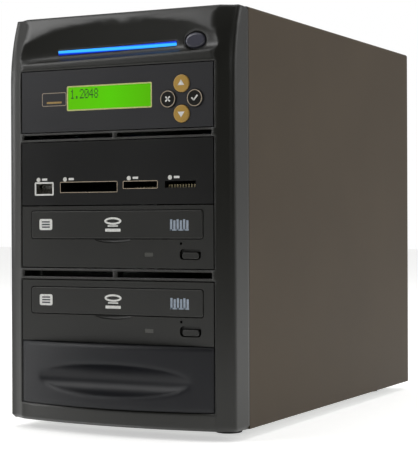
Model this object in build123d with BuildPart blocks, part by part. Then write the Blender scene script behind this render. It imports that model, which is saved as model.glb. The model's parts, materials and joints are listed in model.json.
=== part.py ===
"""Disc duplicator tower: a small desk-side case with a control panel, a card reader, two disc
drives and a blank bay behind a moulded front, and a power supply and a fan at the back.

Frame: origin on the floor under the middle of the body, +Z up, the front faces -Y, +X is the
right-hand side seen from the front. Millimetres.
"""
import os
from math import cos, pi, radians, sin, sqrt

from build123d import *

os.makedirs("parts", exist_ok=True)

# ---------------------------------------------------------------- driving dimensions
FACE_Y = -165.0  # plane of the drive fronts
FOOT_H = 6.5
BODY_W = 177.0
BODY_H = 277.5
SEAM_Y = FACE_Y + 23.0  # the moulded front meets the steel cover here
BACK_Y = FACE_Y + 339.0  # rear edge of the steel cover
SHEET = 1.0
BULGE = 11.0  # how far the blank cover stands out at its middle

BASE_Z = FOOT_H
TOP_Z = FOOT_H + BODY_H
HALF_W = BODY_W / 2
INNER_W = HALF_W - SHEET

# a bay is a half-height 5.25 inch place: 148 mm wide and 42 mm tall at the front
BAY_W = 148.0
BAY_H = 42.0
UNIT_HALF = 73.0  # half width of a drive's steel case
WINDOW_HALF = 74.8
PANEL_Z = 204.3
READER_Z = 155.4
DRIVE_Z = {1: 111.8, 2: 61.4}
BLANK_Z = 18.9
BLANK_H = 42.2
UNIT_Z0 = 0.4  # a unit's case starts this far above its bay's floor
UNIT_H = 41.2
SCREW_R = 1.5
SCREW_HOLE_R = 1.55

ALONG_X = (0, 90, 0)
ALONG_Y = (90, 0, 0)


# ---------------------------------------------------------------- helpers
def save(piece, node):
    """Label a finished builder and write its STEP file."""
    piece.part.label = node
    export_step(piece.part, f"parts/{node}.step")


def block(xs, ys, zs, mode=Mode.ADD):
    """A box between two corners, given as pairs of limits."""
    with Locations(((xs[0] + xs[1]) / 2, (ys[0] + ys[1]) / 2, (zs[0] + zs[1]) / 2)):
        Box(xs[1] - xs[0], ys[1] - ys[0], zs[1] - zs[0], mode=mode)


def rod(centre, radius, length, turn=(0, 0, 0), mode=Mode.ADD):
    """A cylinder about its own centre."""
    with Locations(centre):
        Cylinder(radius, length, rotation=turn, mode=mode)


def ellipsoid(centre, radii):
    """A solid ellipsoid, made outside any builder."""
    return Pos(*centre) * scale(Sphere(1), by=radii)


# ---------------------------------------------------------------- screw places
# each unit is held by two screws a side: (distance behind the front, height above its bay)
UNIT_SCREWS = [(52.0, 10.0), (131.5, 10.0)]
UNIT_FLOORS = [PANEL_Z, READER_Z, DRIVE_Z[1], DRIVE_Z[2]]
COVER_SCREWS = [(side * 82.5, z) for side in (-1, 1) for z in (30.0, 145.0, 262.0)]
PSU_SCREWS = [(side * 69.0, z) for side in (-1, 1) for z in (202.0, 276.0)]
FAN_X, FAN_Z = 0.0, 104.0
FAN_HALF = 40.0
PSU_FAN_X, PSU_FAN_Z = -25.0, 239.0


def fan_holes(x, z):
    """The four screw places round an 80 mm fan."""
    return [(x + i * 35.75, z + k * 35.75) for i in (-1, 1) for k in (-1, 1)]


FAN_HOLES = fan_holes(FAN_X, FAN_Z)
PSU_FAN_HOLES = fan_holes(PSU_FAN_X, PSU_FAN_Z)
GUARD_T = 0.9  # thickness of a finger guard's eyes, under the screw heads
FEET = [(side * 62.0, y) for side in (-1, 1) for y in (FACE_Y + 46.0, BACK_Y - 30.0)]
REAR_IN_Y = BACK_Y - 2 * SHEET  # inner face of the chassis's rear wall
REAR_OUT_Y = BACK_Y - SHEET

# ---------------------------------------------------------------- moulded front
LEAN_Z = 238.0  # the front starts to lean back above this height
LEAN_R = 125.0
SLOPE_OUT = 82.7  # the pillars slope back from the bays to this half width
SLOPE_BACK = 4.7
FRONT_HALF = 87.3
RAIL_TOP = BLANK_Z - 0.5
BROW_Z = PANEL_Z + BAY_H + 0.5
SCOOP_Z = 258.0
SCOOP = (81.3, 8.5, 44.0)  # half axes of the hollow in the brow, whose middle is on the drives' plane
SILL_Z = 253.0
SILL_ROUND = 5.0  # the hollow's wall curves out to its lower edge over this height
SILL_TAPER = 6.0  # and is this much shorter a side at that edge
BROW_TILT = 1.0  # degrees by which the hollow and its light rise to the right
LED_Z = 259.8
LED_X = (-48.4, 43.7)
LED_H = 3.2
LED_BACK = (5.6, 8.3)  # how far behind the drives' plane the bar's front is, at its guide's ends and middle
BUTTON_X, BUTTON_Z = 58.4, 261.3
BUTTON_BACK = 4.6
CORNER_R = 3.0
EASE = 2.4  # the bottom edge is eased by this much
VENTS = [(197.9, 203.8, 199.4, 202.4), (103.9, 111.3, 105.6, 109.6)]  # bar low, high, slot low, high


def lean(z):
    """How far the front has leaned back at height z."""
    return LEAN_R - sqrt(LEAN_R**2 - max(0.0, z - LEAN_Z) ** 2)


def front_outline(back, inset=0.0):
    """Plan outline of the moulded front: its face moved back, its flanks moved in by the inset."""
    y = FACE_Y + back
    right = [
        (WINDOW_HALF + 0.2, y),
        (SLOPE_OUT, y + SLOPE_BACK),
        (FRONT_HALF - 0.9 - inset, y + SLOPE_BACK),
        (FRONT_HALF - inset, y + SLOPE_BACK + 1.2),
        (HALF_W - inset, SEAM_Y),
    ]
    left = [(-x, yy) for x, yy in reversed(right)]
    Polyline(*right, *left, close=True)


def bulged_outline(half, sagitta, y_front, y_back):
    """Plan outline with a front that bows out by the sagitta."""
    ThreePointArc((-half, y_front), (0, y_front - sagitta), (half, y_front))
    Polyline((half, y_front), (half, y_back), (-half, y_back), (-half, y_front))


def brow_tilt(piece):
    """Turn a piece with the hollow, about the middle of the brow."""
    return Pos(0, 0, SCOOP_Z) * Rot(0, -BROW_TILT, 0) * Pos(0, 0, -SCOOP_Z) * piece


def scoop_levels():
    """Height and half axes of the hollow's plan at each level, from its lower edge up."""
    for share in (0.01, 0.08, 0.22, 0.42, 0.68):
        swell = sqrt(1 - (1 - share) ** 2)
        yield SILL_Z + share * SILL_ROUND, SCOOP[0] - SILL_TAPER * (1 - swell), SCOOP[1] * swell
    for z in (SCOOP_Z, 266.0, 274.0, 281.0, 287.0, 292.0):
        swell = sqrt(1 - ((z - SCOOP_Z) / SCOOP[2]) ** 2)
        yield z, SCOOP[0] * swell, SCOOP[1] * swell


with BuildPart() as brow_scoop:
    for level, half_width, depth in scoop_levels():
        with BuildSketch(Plane.XY.offset(level)):
            with Locations((0, FACE_Y)):
                Ellipse(half_width, depth)
    loft()

with BuildPart() as front_bezel:
    for level, inset in ((BASE_Z, EASE), (BASE_Z + EASE, 0.0)):
        with BuildSketch(Plane.XY.offset(level)):
            with BuildLine():
                front_outline(inset, inset / 2)
            make_face()
    loft()
    with BuildSketch(Plane.XY.offset(BASE_Z + EASE)):
        with BuildLine():
            front_outline(0)
        make_face()
    extrude(amount=LEAN_Z - BASE_Z - EASE)
    for level in (LEAN_Z, 250.0, 262.0, 273.0, TOP_Z):
        with BuildSketch(Plane.XY.offset(level)):
            with BuildLine():
                front_outline(lean(level))
            make_face()
    loft()
    # round the two top corners, seen from the front
    with BuildSketch(Plane.XZ.offset(-SEAM_Y)):
        with Locations((0, BASE_Z + BODY_H / 2)):
            shell_front = Rectangle(BODY_W, BODY_H)
        fillet(shell_front.vertices().group_by(Axis.Y)[-1], CORNER_R)
    extrude(amount=60, mode=Mode.INTERSECT)
    # the bays, from the blank cover up to the control panel
    block((-WINDOW_HALF, WINDOW_HALF), (FACE_Y - 1, SEAM_Y + 1), (RAIL_TOP, BROW_Z), Mode.SUBTRACT)
    # the bottom rail bows out under the blank cover
    for level, inset in ((BASE_Z, EASE), (BASE_Z + EASE, 0.0)):
        with BuildSketch(Plane.XY.offset(level)):
            with BuildLine():
                bulged_outline(WINDOW_HALF, BULGE - 2.0 - inset / 2, FACE_Y + inset, FACE_Y + 6)
            make_face()
    loft()
    with BuildSketch(Plane.XY.offset(BASE_Z + EASE)):
        with BuildLine():
            bulged_outline(WINDOW_HALF, BULGE - 2.0, FACE_Y, FACE_Y + 6)
        make_face()
    extrude(amount=RAIL_TOP - BASE_Z - EASE)
    # hollows behind the pillars, the brow and the bottom rail
    for side in (-1, 1):
        with BuildSketch(Plane.XY.offset(BASE_Z + 2.5)):
            with BuildLine():
                pocket = [(77.0, 3.4), (82.3, 7.0), (85.0, 7.0), (86.2, 23.5), (77.0, 23.5)]
                Polyline(*[(side * x, FACE_Y + y) for x, y in pocket], close=True)
            make_face()
        extrude(amount=BROW_Z - BASE_Z - 3.0, mode=Mode.SUBTRACT)
    block((-79.0, 79.0), (FACE_Y + 12.6, SEAM_Y + 1), (BROW_Z + 2.5, TOP_Z - 2.4), Mode.SUBTRACT)
    block((-72.0, 72.0), (FACE_Y + 1, SEAM_Y + 1), (BASE_Z + 2.5, RAIL_TOP - 2.2), Mode.SUBTRACT)
    # slotted bars above and between the drives
    for low, high, slot_low, slot_high in VENTS:
        block((-WINDOW_HALF, WINDOW_HALF), (FACE_Y, FACE_Y + 9), (low, high))
        for x0, x1 in ((-72.8, -1.6), (1.6, 72.8)):
            block((x0, x1), (FACE_Y - 1, FACE_Y + 10), (slot_low, slot_high), Mode.SUBTRACT)

with BuildPart() as light_slot:
    block(LED_X, (FACE_Y, FACE_Y + 15), (LED_Z - LED_H / 2, LED_Z + LED_H / 2))
with BuildPart() as scooped_bezel:
    add(front_bezel.part)
    # the hollow, and places for the light pipe and the power button
    add(brow_tilt(brow_scoop.part), mode=Mode.SUBTRACT)
    add(brow_tilt(light_slot.part), mode=Mode.SUBTRACT)
    with BuildSketch(Plane.XZ.offset(-FACE_Y)):
        with Locations((BUTTON_X, BUTTON_Z)):
            Ellipse(8.7, 6.45)
    extrude(amount=-15, mode=Mode.SUBTRACT)
save(scooped_bezel, "front_bezel")

# ---------------------------------------------------------------- light pipe and power button
BROW_BACK = FACE_Y + 12.6  # back face of the brow's wall
with BuildPart() as level_pipe:
    block((LED_X[0] + 0.15, LED_X[1] - 0.15), (FACE_Y + LED_BACK[0], BROW_BACK),
          (LED_Z - LED_H / 2 + 0.1, LED_Z + LED_H / 2 - 0.1))
    with BuildSketch(Plane.XY.offset(LED_Z - LED_H)):
        with BuildLine():
            end_y, middle_y = FACE_Y + LED_BACK[0], FACE_Y + LED_BACK[1]
            ThreePointArc((-60, end_y), (0, middle_y), (60, end_y))
            Polyline((60, end_y), (60, FACE_Y), (-60, FACE_Y), (-60, end_y))
        make_face()
    extrude(amount=2 * LED_H, mode=Mode.SUBTRACT)
    # the bar's foot is a strip board with its lamps, held on the back of the brow
    block((LED_X[0] - 4, LED_X[1] - 1.0), (BROW_BACK, BROW_BACK + 1.6), (LED_Z - 5, LED_Z + 5))
with BuildPart() as light_pipe:
    add(brow_tilt(level_pipe.part))
save(light_pipe, "light_pipe")

with BuildPart() as power_button:
    with BuildSketch(Plane.XZ.offset(-(FACE_Y + BUTTON_BACK))):
        with Locations((BUTTON_X, BUTTON_Z)):
            Ellipse(7.5, 5.35)
    extrude(amount=FACE_Y + BUTTON_BACK - BROW_BACK)
    rim = power_button.edges().group_by(Axis.Y)[0]
    fillet(rim, 2.2)
    # a flange behind the brow's wall keeps the button in
    with BuildSketch(Plane.XZ.offset(-BROW_BACK)):
        with Locations((BUTTON_X, BUTTON_Z)):
            Ellipse(9.8, 7.6)
    extrude(amount=-1.6)
    rod((BUTTON_X, BROW_BACK + 4.4, BUTTON_Z), 1.5, 5.6, ALONG_Y)
save(power_button, "power_button")

SPRING_Y = (BROW_BACK + 1.6, FACE_Y + 22.4)
with BuildPart() as power_button_spring:
    with BuildLine(mode=Mode.PRIVATE) as coil:
        Helix(1.5, SPRING_Y[1] - SPRING_Y[0] - 0.8, 2.6, center=(BUTTON_X, SPRING_Y[0] + 0.4, BUTTON_Z),
              direction=(0, 1, 0))
    with BuildSketch(Plane(coil.line @ 0, z_dir=coil.line % 0)):
        Circle(0.3)
    sweep(path=coil.line)
save(power_button_spring, "power_button_spring")

SWITCH_Y = FACE_Y + 22.6
with BuildPart() as power_switch:
    block((BUTTON_X - 7, BUTTON_X + 7), (SWITCH_Y, SWITCH_Y + 10), (BUTTON_Z - 6, BUTTON_Z + 6))
    # its strap laps the front wall beside the window
    block((BUTTON_X - 12, 77), (SWITCH_Y, SEAM_Y), (BUTTON_Z - 4, BUTTON_Z + 4))
    for x in (-3, 3):
        block((BUTTON_X + x - 0.4, BUTTON_X + x + 0.4), (SWITCH_Y + 10, SWITCH_Y + 14),
              (BUTTON_Z - 1.5, BUTTON_Z + 1.5))
save(power_switch, "power_switch")

# ---------------------------------------------------------------- steelwork
with BuildPart() as chassis:
    wall_in = SEAM_Y + SHEET
    block((-INNER_W, INNER_W), (SEAM_Y, REAR_OUT_Y), (BASE_Z, BASE_Z + SHEET))
    for y0, y1 in ((SEAM_Y, wall_in), (REAR_IN_Y, REAR_OUT_Y)):
        block((-INNER_W, INNER_W), (y0, y1), (BASE_Z, TOP_Z - SHEET))
    for side in (-1, 1):
        flange = sorted((side * INNER_W, side * (INNER_W - SHEET)))
        block(flange, (SEAM_Y, REAR_OUT_Y), (BASE_Z, BASE_Z + 14))
        for y0, y1 in ((SEAM_Y, SEAM_Y + 12), (REAR_OUT_Y - 12, REAR_OUT_Y)):
            block(flange, (y0, y1), (BASE_Z, TOP_Z - SHEET))
    for y0, y1 in ((SEAM_Y, SEAM_Y + 12), (REAR_OUT_Y - 12, REAR_OUT_Y)):
        block((-INNER_W, INNER_W), (y0, y1), (TOP_Z - 2 * SHEET, TOP_Z - SHEET))
    # the drives pass through the front wall, and the light pipe and switch reach through it
    block((-WINDOW_HALF, WINDOW_HALF), (SEAM_Y - 1, wall_in + 1), (RAIL_TOP - 6, BROW_Z + 1),
          Mode.SUBTRACT)
    block((-60, 72), (SEAM_Y - 1, wall_in + 1), (BROW_Z + 5, TOP_Z - 10), Mode.SUBTRACT)
    # the supply and the fan look out through the rear wall
    block((-64.5, 64.5), (REAR_IN_Y - 1, REAR_OUT_Y + 1), (199.4, 278.6), Mode.SUBTRACT)
    rod((FAN_X, REAR_IN_Y, FAN_Z), 37.5, 6, ALONG_Y, Mode.SUBTRACT)
    for x, z in COVER_SCREWS + FAN_HOLES + PSU_SCREWS:
        rod((x, REAR_IN_Y, z), SCREW_HOLE_R, 6, ALONG_Y, Mode.SUBTRACT)
    for x, y in FEET:
        rod((x, y, BASE_Z), 2.3, 6, mode=Mode.SUBTRACT)
save(chassis, "chassis")

with BuildPart() as wrap_cover:
    cover_y = (SEAM_Y + 0.4, BACK_Y)
    with BuildSketch(Plane.XZ.offset(-cover_y[0])):
        with Locations((0, BASE_Z + BODY_H / 2)):
            outside = Rectangle(BODY_W, BODY_H)
        fillet(outside.vertices().group_by(Axis.Y)[-1], 2.0)
        with Locations((0, BASE_Z + (BODY_H - SHEET) / 2)):
            Rectangle(2 * INNER_W, BODY_H - SHEET, mode=Mode.SUBTRACT)
    extrude(amount=-(cover_y[1] - cover_y[0]))
    # inward folds along the rear edge, which the cover's screws go through
    for side in (-1, 1):
        block(sorted((side * INNER_W, side * (INNER_W - 10))), (REAR_OUT_Y, BACK_Y),
              (BASE_Z, TOP_Z - SHEET))
    block((-INNER_W, INNER_W), (REAR_OUT_Y, BACK_Y), (TOP_Z - SHEET - 3, TOP_Z - SHEET))
    for x, z in COVER_SCREWS:
        rod((x, REAR_OUT_Y, z), SCREW_HOLE_R, 6, ALONG_Y, Mode.SUBTRACT)
save(wrap_cover, "wrap_cover")

RAIL_WEB = 1.2
RAIL_Y = (SEAM_Y + SHEET, FACE_Y + 190)
for side, node in ((-1, "bay_rail_left"), (1, "bay_rail_right")):
    web = sorted((side * UNIT_HALF, side * (UNIT_HALF + RAIL_WEB)))
    foot = sorted((side * UNIT_HALF, side * (INNER_W - 2 * SHEET)))
    with BuildPart() as bay_rail:
        block(web, RAIL_Y, (BASE_Z + SHEET, BROW_Z + 6))
        block(foot, RAIL_Y, (BASE_Z + SHEET, BASE_Z + 2 * SHEET))
        block(foot, RAIL_Y, (BROW_Z + 5, BROW_Z + 6))
        block(foot, (RAIL_Y[0], RAIL_Y[0] + SHEET), (BASE_Z + SHEET, BROW_Z + 6))
        middle = side * (UNIT_HALF + RAIL_WEB / 2)
        for floor in UNIT_FLOORS:
            for depth, height in UNIT_SCREWS:
                rod((middle, FACE_Y + depth, floor + height), SCREW_HOLE_R, 6, ALONG_X, Mode.SUBTRACT)
            # a long window saves weight and lets the fan draw air past each unit
            block((middle - 3, middle + 3), (FACE_Y + 62, FACE_Y + 120), (floor + 8, floor + 34),
                  Mode.SUBTRACT)
    save(bay_rail, node)

# ---------------------------------------------------------------- feet and screws
with BuildPart() as feet:
    for x, y in FEET:
        with Locations((x, y, 0)):
            Cone(9.0, 10.5, FOOT_H, align=(Align.CENTER, Align.CENTER, Align.MIN))
            Cylinder(2.2, FOOT_H + SHEET, align=(Align.CENTER, Align.CENTER, Align.MIN))
        with Locations((x, y, BASE_Z + SHEET)):
            Cylinder(3.4, 1.2, align=(Align.CENTER, Align.CENTER, Align.MIN))
save(feet, "feet")


def screw(point, inward, grip):
    """A pan-head M3 screw whose head sits on the point; inward is a unit axis, grip its shank."""
    head_plane = Plane(origin=point, z_dir=inward)
    with BuildPart() as fastener:
        with BuildSketch(head_plane):
            Circle(SCREW_R)
        extrude(amount=grip)
        with BuildSketch(head_plane):
            Circle(2.8)
        extrude(amount=-1.9)
        with BuildSketch(head_plane.offset(-1.9)):
            Rectangle(3.2, 0.7)
            Rectangle(0.7, 3.2)
        extrude(amount=1.0, mode=Mode.SUBTRACT)
    return fastener.part


unit_heads = [
    (side, depth, floor + height)
    for floor in UNIT_FLOORS
    for depth, height in UNIT_SCREWS
    for side in (-1, 1)
]
with BuildPart() as screws:
    add([screw((side * (UNIT_HALF + RAIL_WEB), FACE_Y + depth, z), (-side, 0, 0), 3.6)
         for side, depth, z in unit_heads])
    add([screw((x, BACK_Y, z), (0, -1, 0), 4.0) for x, z in COVER_SCREWS])
    add([screw((x, REAR_OUT_Y, z), (0, -1, 0), 4.0) for x, z in PSU_SCREWS])
    add([screw((x, REAR_OUT_Y + GUARD_T, z), (0, -1, 0), 8.0) for x, z in FAN_HOLES])
    add([screw((x, REAR_IN_Y + GUARD_T, z), (0, -1, 0), 8.0) for x, z in PSU_FAN_HOLES])
save(screws, "screws")

# ---------------------------------------------------------------- control panel, in the top bay
PLATE_Y = (FACE_Y, FACE_Y + 2.5)
LCD_X, LCD_Z = -4.2, 226.7
LCD_W, LCD_H = 65.5, 16.3
KEY_X, KEY_Z = 51.1, 223.2
KEY_STEP = 9.9
KEY_R = 5.8
KEYS = {
    "key_up": (KEY_X, KEY_Z + KEY_STEP),
    "key_down": (KEY_X, KEY_Z - KEY_STEP),
    "key_cancel": (KEY_X - KEY_STEP, KEY_Z),
    "key_confirm": (KEY_X + KEY_STEP, KEY_Z),
}
with BuildPart() as control_panel:
    panel_z = (PANEL_Z + 0.1, PANEL_Z + BAY_H - 0.1)
    block((-BAY_W / 2, BAY_W / 2), PLATE_Y, panel_z)
    # a rim behind the plate, which the trays' ears meet
    block((-UNIT_HALF, UNIT_HALF), (PLATE_Y[1], FACE_Y + 12), (PANEL_Z + 0.6, PANEL_Z + BAY_H - 0.8))
    block((-UNIT_HALF + 2, UNIT_HALF - 2), (PLATE_Y[1], FACE_Y + 13),
          (PANEL_Z + 2.2, PANEL_Z + BAY_H - 2.8), Mode.SUBTRACT)
    block((LCD_X - LCD_W / 2, LCD_X + LCD_W / 2), (FACE_Y - 1, FACE_Y + 3),
          (LCD_Z - LCD_H / 2, LCD_Z + LCD_H / 2), Mode.SUBTRACT)
    for x, z in KEYS.values():
        rod((x, FACE_Y + 1, z), KEY_R + 0.25, 6, ALONG_Y, Mode.SUBTRACT)
save(control_panel, "control_panel")

with BuildPart() as lcd_window:
    block((LCD_X - LCD_W / 2 + 0.1, LCD_X + LCD_W / 2 - 0.1), (FACE_Y + 0.3, FACE_Y + 2.5),
          (LCD_Z - LCD_H / 2 + 0.1, LCD_Z + LCD_H / 2 - 0.1))
    block((LCD_X - LCD_W / 2 - 2, LCD_X + LCD_W / 2 + 2), (FACE_Y + 2.5, FACE_Y + 3.5),
          (LCD_Z - LCD_H / 2 - 2, LCD_Z + LCD_H / 2 + 2))
save(lcd_window, "lcd_window")

with BuildPart() as lcd_module:
    block((LCD_X - 36, LCD_X + 36), (FACE_Y + 3.5, FACE_Y + 9.0), (LCD_Z - 12, LCD_Z + 12))
    block((LCD_X - 40, LCD_X + 40), (FACE_Y + 9.0, FACE_Y + 10.6), (LCD_Z - 18, LCD_Z + 16.5))
    block((LCD_X - 20, LCD_X + 20), (FACE_Y + 10.6, FACE_Y + 14.0), (LCD_Z - 17, LCD_Z - 13))
save(lcd_module, "lcd_module")

for node, (x, z) in KEYS.items():
    with BuildPart() as key:
        rod((x, FACE_Y + 1.4, z), KEY_R, 4.8, ALONG_Y)
        crown = key.edges().group_by(Axis.Y)[0]
        fillet(crown, 0.8)
        rod((x, FACE_Y + 3.3, z), KEY_R + 0.5, 1.0, ALONG_Y)
        rod((x, FACE_Y + 4.6, z), KEY_R - 1.4, 2.0, ALONG_Y)
    save(key, node)

with BuildPart() as key_board:
    board_y = (FACE_Y + 9.6, FACE_Y + 11.2)
    block((KEY_X - 15, KEY_X + 17), board_y, (KEY_Z - 16.0, KEY_Z + 18.6))
    for x, z in KEYS.values():
        block((x - 3, x + 3), (FACE_Y + 7.4, board_y[0]), (z - 3, z + 3))
        rod((x, FACE_Y + 6.85, z), 1.75, 1.1, ALONG_Y)
save(key_board, "key_board")

# ---------------------------------------------------------------- trays behind the two top bays
TRAY_Y = (FACE_Y + 12.0, FACE_Y + 150.0)
with BuildPart() as bay_trays:
    for floor in (PANEL_Z, READER_Z):
        z0 = floor + 1.2
        block((-UNIT_HALF, UNIT_HALF), TRAY_Y, (z0, z0 + SHEET))
        for side in (-1, 1):
            ear = sorted((side * UNIT_HALF, side * (UNIT_HALF - SHEET)))
            block(ear, TRAY_Y, (z0, z0 + 28))
            for depth, height in UNIT_SCREWS:
                hole = (side * UNIT_HALF, FACE_Y + depth, floor + height)
                rod(hole, SCREW_HOLE_R, 6, ALONG_X, Mode.SUBTRACT)
        for x in (-45, 45):
            block((x - 18, x + 18), (FACE_Y + 70, FACE_Y + 120), (z0 - 1, z0 + 2), Mode.SUBTRACT)
save(bay_trays, "bay_trays")

BOARD_Z = PANEL_Z + 7.0
STANDOFFS = [(side * 55.0, y) for side in (-1, 1) for y in (FACE_Y + 32, FACE_Y + 138)]
with BuildPart() as controller_board:
    block((-62, 62), (FACE_Y + 24, FACE_Y + 146), (BOARD_Z, BOARD_Z + 1.6))
    for x, y in STANDOFFS:
        rod((x, y, (BOARD_Z + PANEL_Z + 2.2) / 2), 2.5, BOARD_Z - PANEL_Z - 2.2)
        rod((x, y, BOARD_Z + 2.6), 2.6, 2.0)
    block((-14, 14), (FACE_Y + 66, FACE_Y + 94), (BOARD_Z + 1.6, BOARD_Z + 4.4))
    block((-12, 12), (FACE_Y + 68, FACE_Y + 92), (BOARD_Z + 4.4, BOARD_Z + 11.0))
    for x in (24, 38):
        block((x, x + 9), (FACE_Y + 52, FACE_Y + 74), (BOARD_Z + 1.6, BOARD_Z + 3.0))
    for x in (-40.0, -22.0, 46.0):
        block((x - 7, x + 7), (FACE_Y + 138, FACE_Y + 145), (BOARD_Z + 1.6, BOARD_Z + 9.0))
    for x, y in ((-44, FACE_Y + 60), (-34, FACE_Y + 60), (44, FACE_Y + 110)):
        rod((x, y, BOARD_Z + 6.0), 3.2, 8.8)
save(controller_board, "controller_board")

# ---------------------------------------------------------------- card reader, in the second bay
USB = (-56.0, 165.6, 14.2, 8.0)  # centre x, centre z, width, height of each opening
CF_SLOT = (-20.4, 166.4, 44.4, 6.6)
SD_SLOT = (19.7, 167.4, 25.8, 4.6)
STICK_SLOT = (49.8, 167.3, 23.0, 4.4)
LAMPS = (-60.6, -39.1, 11.1, 42.2)
LAMP_Z = 171.8
with BuildPart() as reader_bezel:
    block((-BAY_W / 2, BAY_W / 2), PLATE_Y, (READER_Z - 1.0, READER_Z + BAY_H - 0.1))
    block((-UNIT_HALF, UNIT_HALF), (PLATE_Y[1], FACE_Y + 12),
          (READER_Z + 0.6, READER_Z + BAY_H - 0.8))
    block((-UNIT_HALF + 2, UNIT_HALF - 2), (PLATE_Y[1], FACE_Y + 13),
          (READER_Z + 2.6, READER_Z + BAY_H - 2.8), Mode.SUBTRACT)
    for x, z, width, height in (USB, CF_SLOT, SD_SLOT, STICK_SLOT):
        block((x - width / 2, x + width / 2), (FACE_Y - 1, FACE_Y + 3),
              (z - height / 2, z + height / 2), Mode.SUBTRACT)
    for x in LAMPS:
        rod((x, FACE_Y + 1, LAMP_Z), 1.6, 6, ALONG_Y, Mode.SUBTRACT)
save(reader_bezel, "reader_bezel")

with BuildPart() as reader_lights:
    for x in LAMPS:
        rod((x, FACE_Y + 1.15, LAMP_Z), 1.5, 2.7, ALONG_Y)
        block((x - 2.2, x + 2.2), (PLATE_Y[1], FACE_Y + 6.0), (LAMP_Z - 1.2, LAMP_Z + 2.6))
save(reader_lights, "reader_lights")

READER_BOARD_Z = READER_Z + 3.4
with BuildPart() as reader_board:
    block((-66, 66), (FACE_Y + 14, FACE_Y + 78), (READER_BOARD_Z, READER_BOARD_Z + 1.6))
    for x in (-58, 58):
        rod((x, FACE_Y + 72, READER_BOARD_Z - 0.6), 2.5, 1.2)
        rod((x, FACE_Y + 72, READER_BOARD_Z + 2.6), 2.6, 2.0)
    block((-10, 8), (FACE_Y + 58, FACE_Y + 72), (READER_BOARD_Z + 1.6, READER_BOARD_Z + 3.2))
    block((20, 36), (FACE_Y + 66, FACE_Y + 76), (READER_BOARD_Z + 1.6, READER_BOARD_Z + 8.6))
save(reader_board, "reader_board")


def socket(name, opening, depth, wall, tongue):
    """A card or plug socket: a shell behind its opening, standing on the reader's board.

    The tongue is (thickness, height above the cavity's floor, length from the back).
    """
    x, z, width, height = opening
    y_back = PLATE_Y[1] + depth
    cavity = (z - height / 2, z + height / 2)
    with BuildPart() as shell:
        block((x - width / 2 - wall, x + width / 2 + wall), (PLATE_Y[1], y_back + wall),
              (cavity[0] - wall, cavity[1] + wall))
        block((x - width / 2, x + width / 2), (PLATE_Y[1] - 1, y_back), cavity, Mode.SUBTRACT)
        thick, lift, reach = tongue
        block((x - width / 2 + 1.2, x + width / 2 - 1.2), (y_back - reach, y_back),
              (cavity[0] + lift, cavity[0] + lift + thick))
        # two posts down to the board
        for post in (x - width / 3, x + width / 3):
            block((post - 1.5, post + 1.5), (FACE_Y + 15, FACE_Y + 18),
                  (READER_BOARD_Z + 1.6, cavity[0] - wall))
    save(shell, name)


socket("usb_socket", USB, 14.0, 0.4, (2.0, 4.5, 10.0))
socket("cf_socket", CF_SLOT, 34.0, 0.7, (1.6, 2.4, 6.0))
socket("sd_socket", SD_SLOT, 24.0, 0.5, (0.8, 0.0, 14.0))
socket("stick_socket", STICK_SLOT, 22.0, 0.5, (0.8, 0.0, 12.0))

# ---------------------------------------------------------------- disc drives
DOOR = {1: (19.8, 38.5), 2: (19.0, 37.0)}  # low and high edge of each tray door above its bay
DOOR_HALF = 66.4
DOOR_R = 1.8  # corner radius of a tray door
PIN_HOLE_X = 50.2
EJECT_X, EJECT_W, EJECT_H = 57.0, 12.4, 4.4
EJECT_LOW = 6.5
LENS_X, LENS_W, LENS_LOW, LENS_H = 26.0, 6.6, 7.9, 2.7
DISC_D = 70.0  # the disc's centre is this far behind the front
TRAY_HALF = 64.5
TRAY_LOW, TRAY_TOP = 27.0, 32.0
TRAY_END = 150.0
GEAR_TEETH = 18
GEAR_R = 9.0  # pitch radius of the loader gear, module 1
RACK_X = -50.0  # the rack's pitch line
GEAR_X, GEAR_D = RACK_X + GEAR_R, 22.0
PITCH = 2 * pi * GEAR_R / GEAR_TEETH
ADDENDUM, DEDENDUM = 0.8, 1.1
TOOTH_HALF = 0.55  # half a tooth's width at the pitch line, with backlash
FLANK = 0.32  # how much a tooth narrows a side over its addendum
ROD_X, ROD_H = 19.0, 11.0
ROD_R = 1.5
SLED_D = 94.0
PLUG_X = {"data": -19.0, "power": -49.0}
PLUG_H = 9.0
PLUG_D = 171.5


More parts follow.
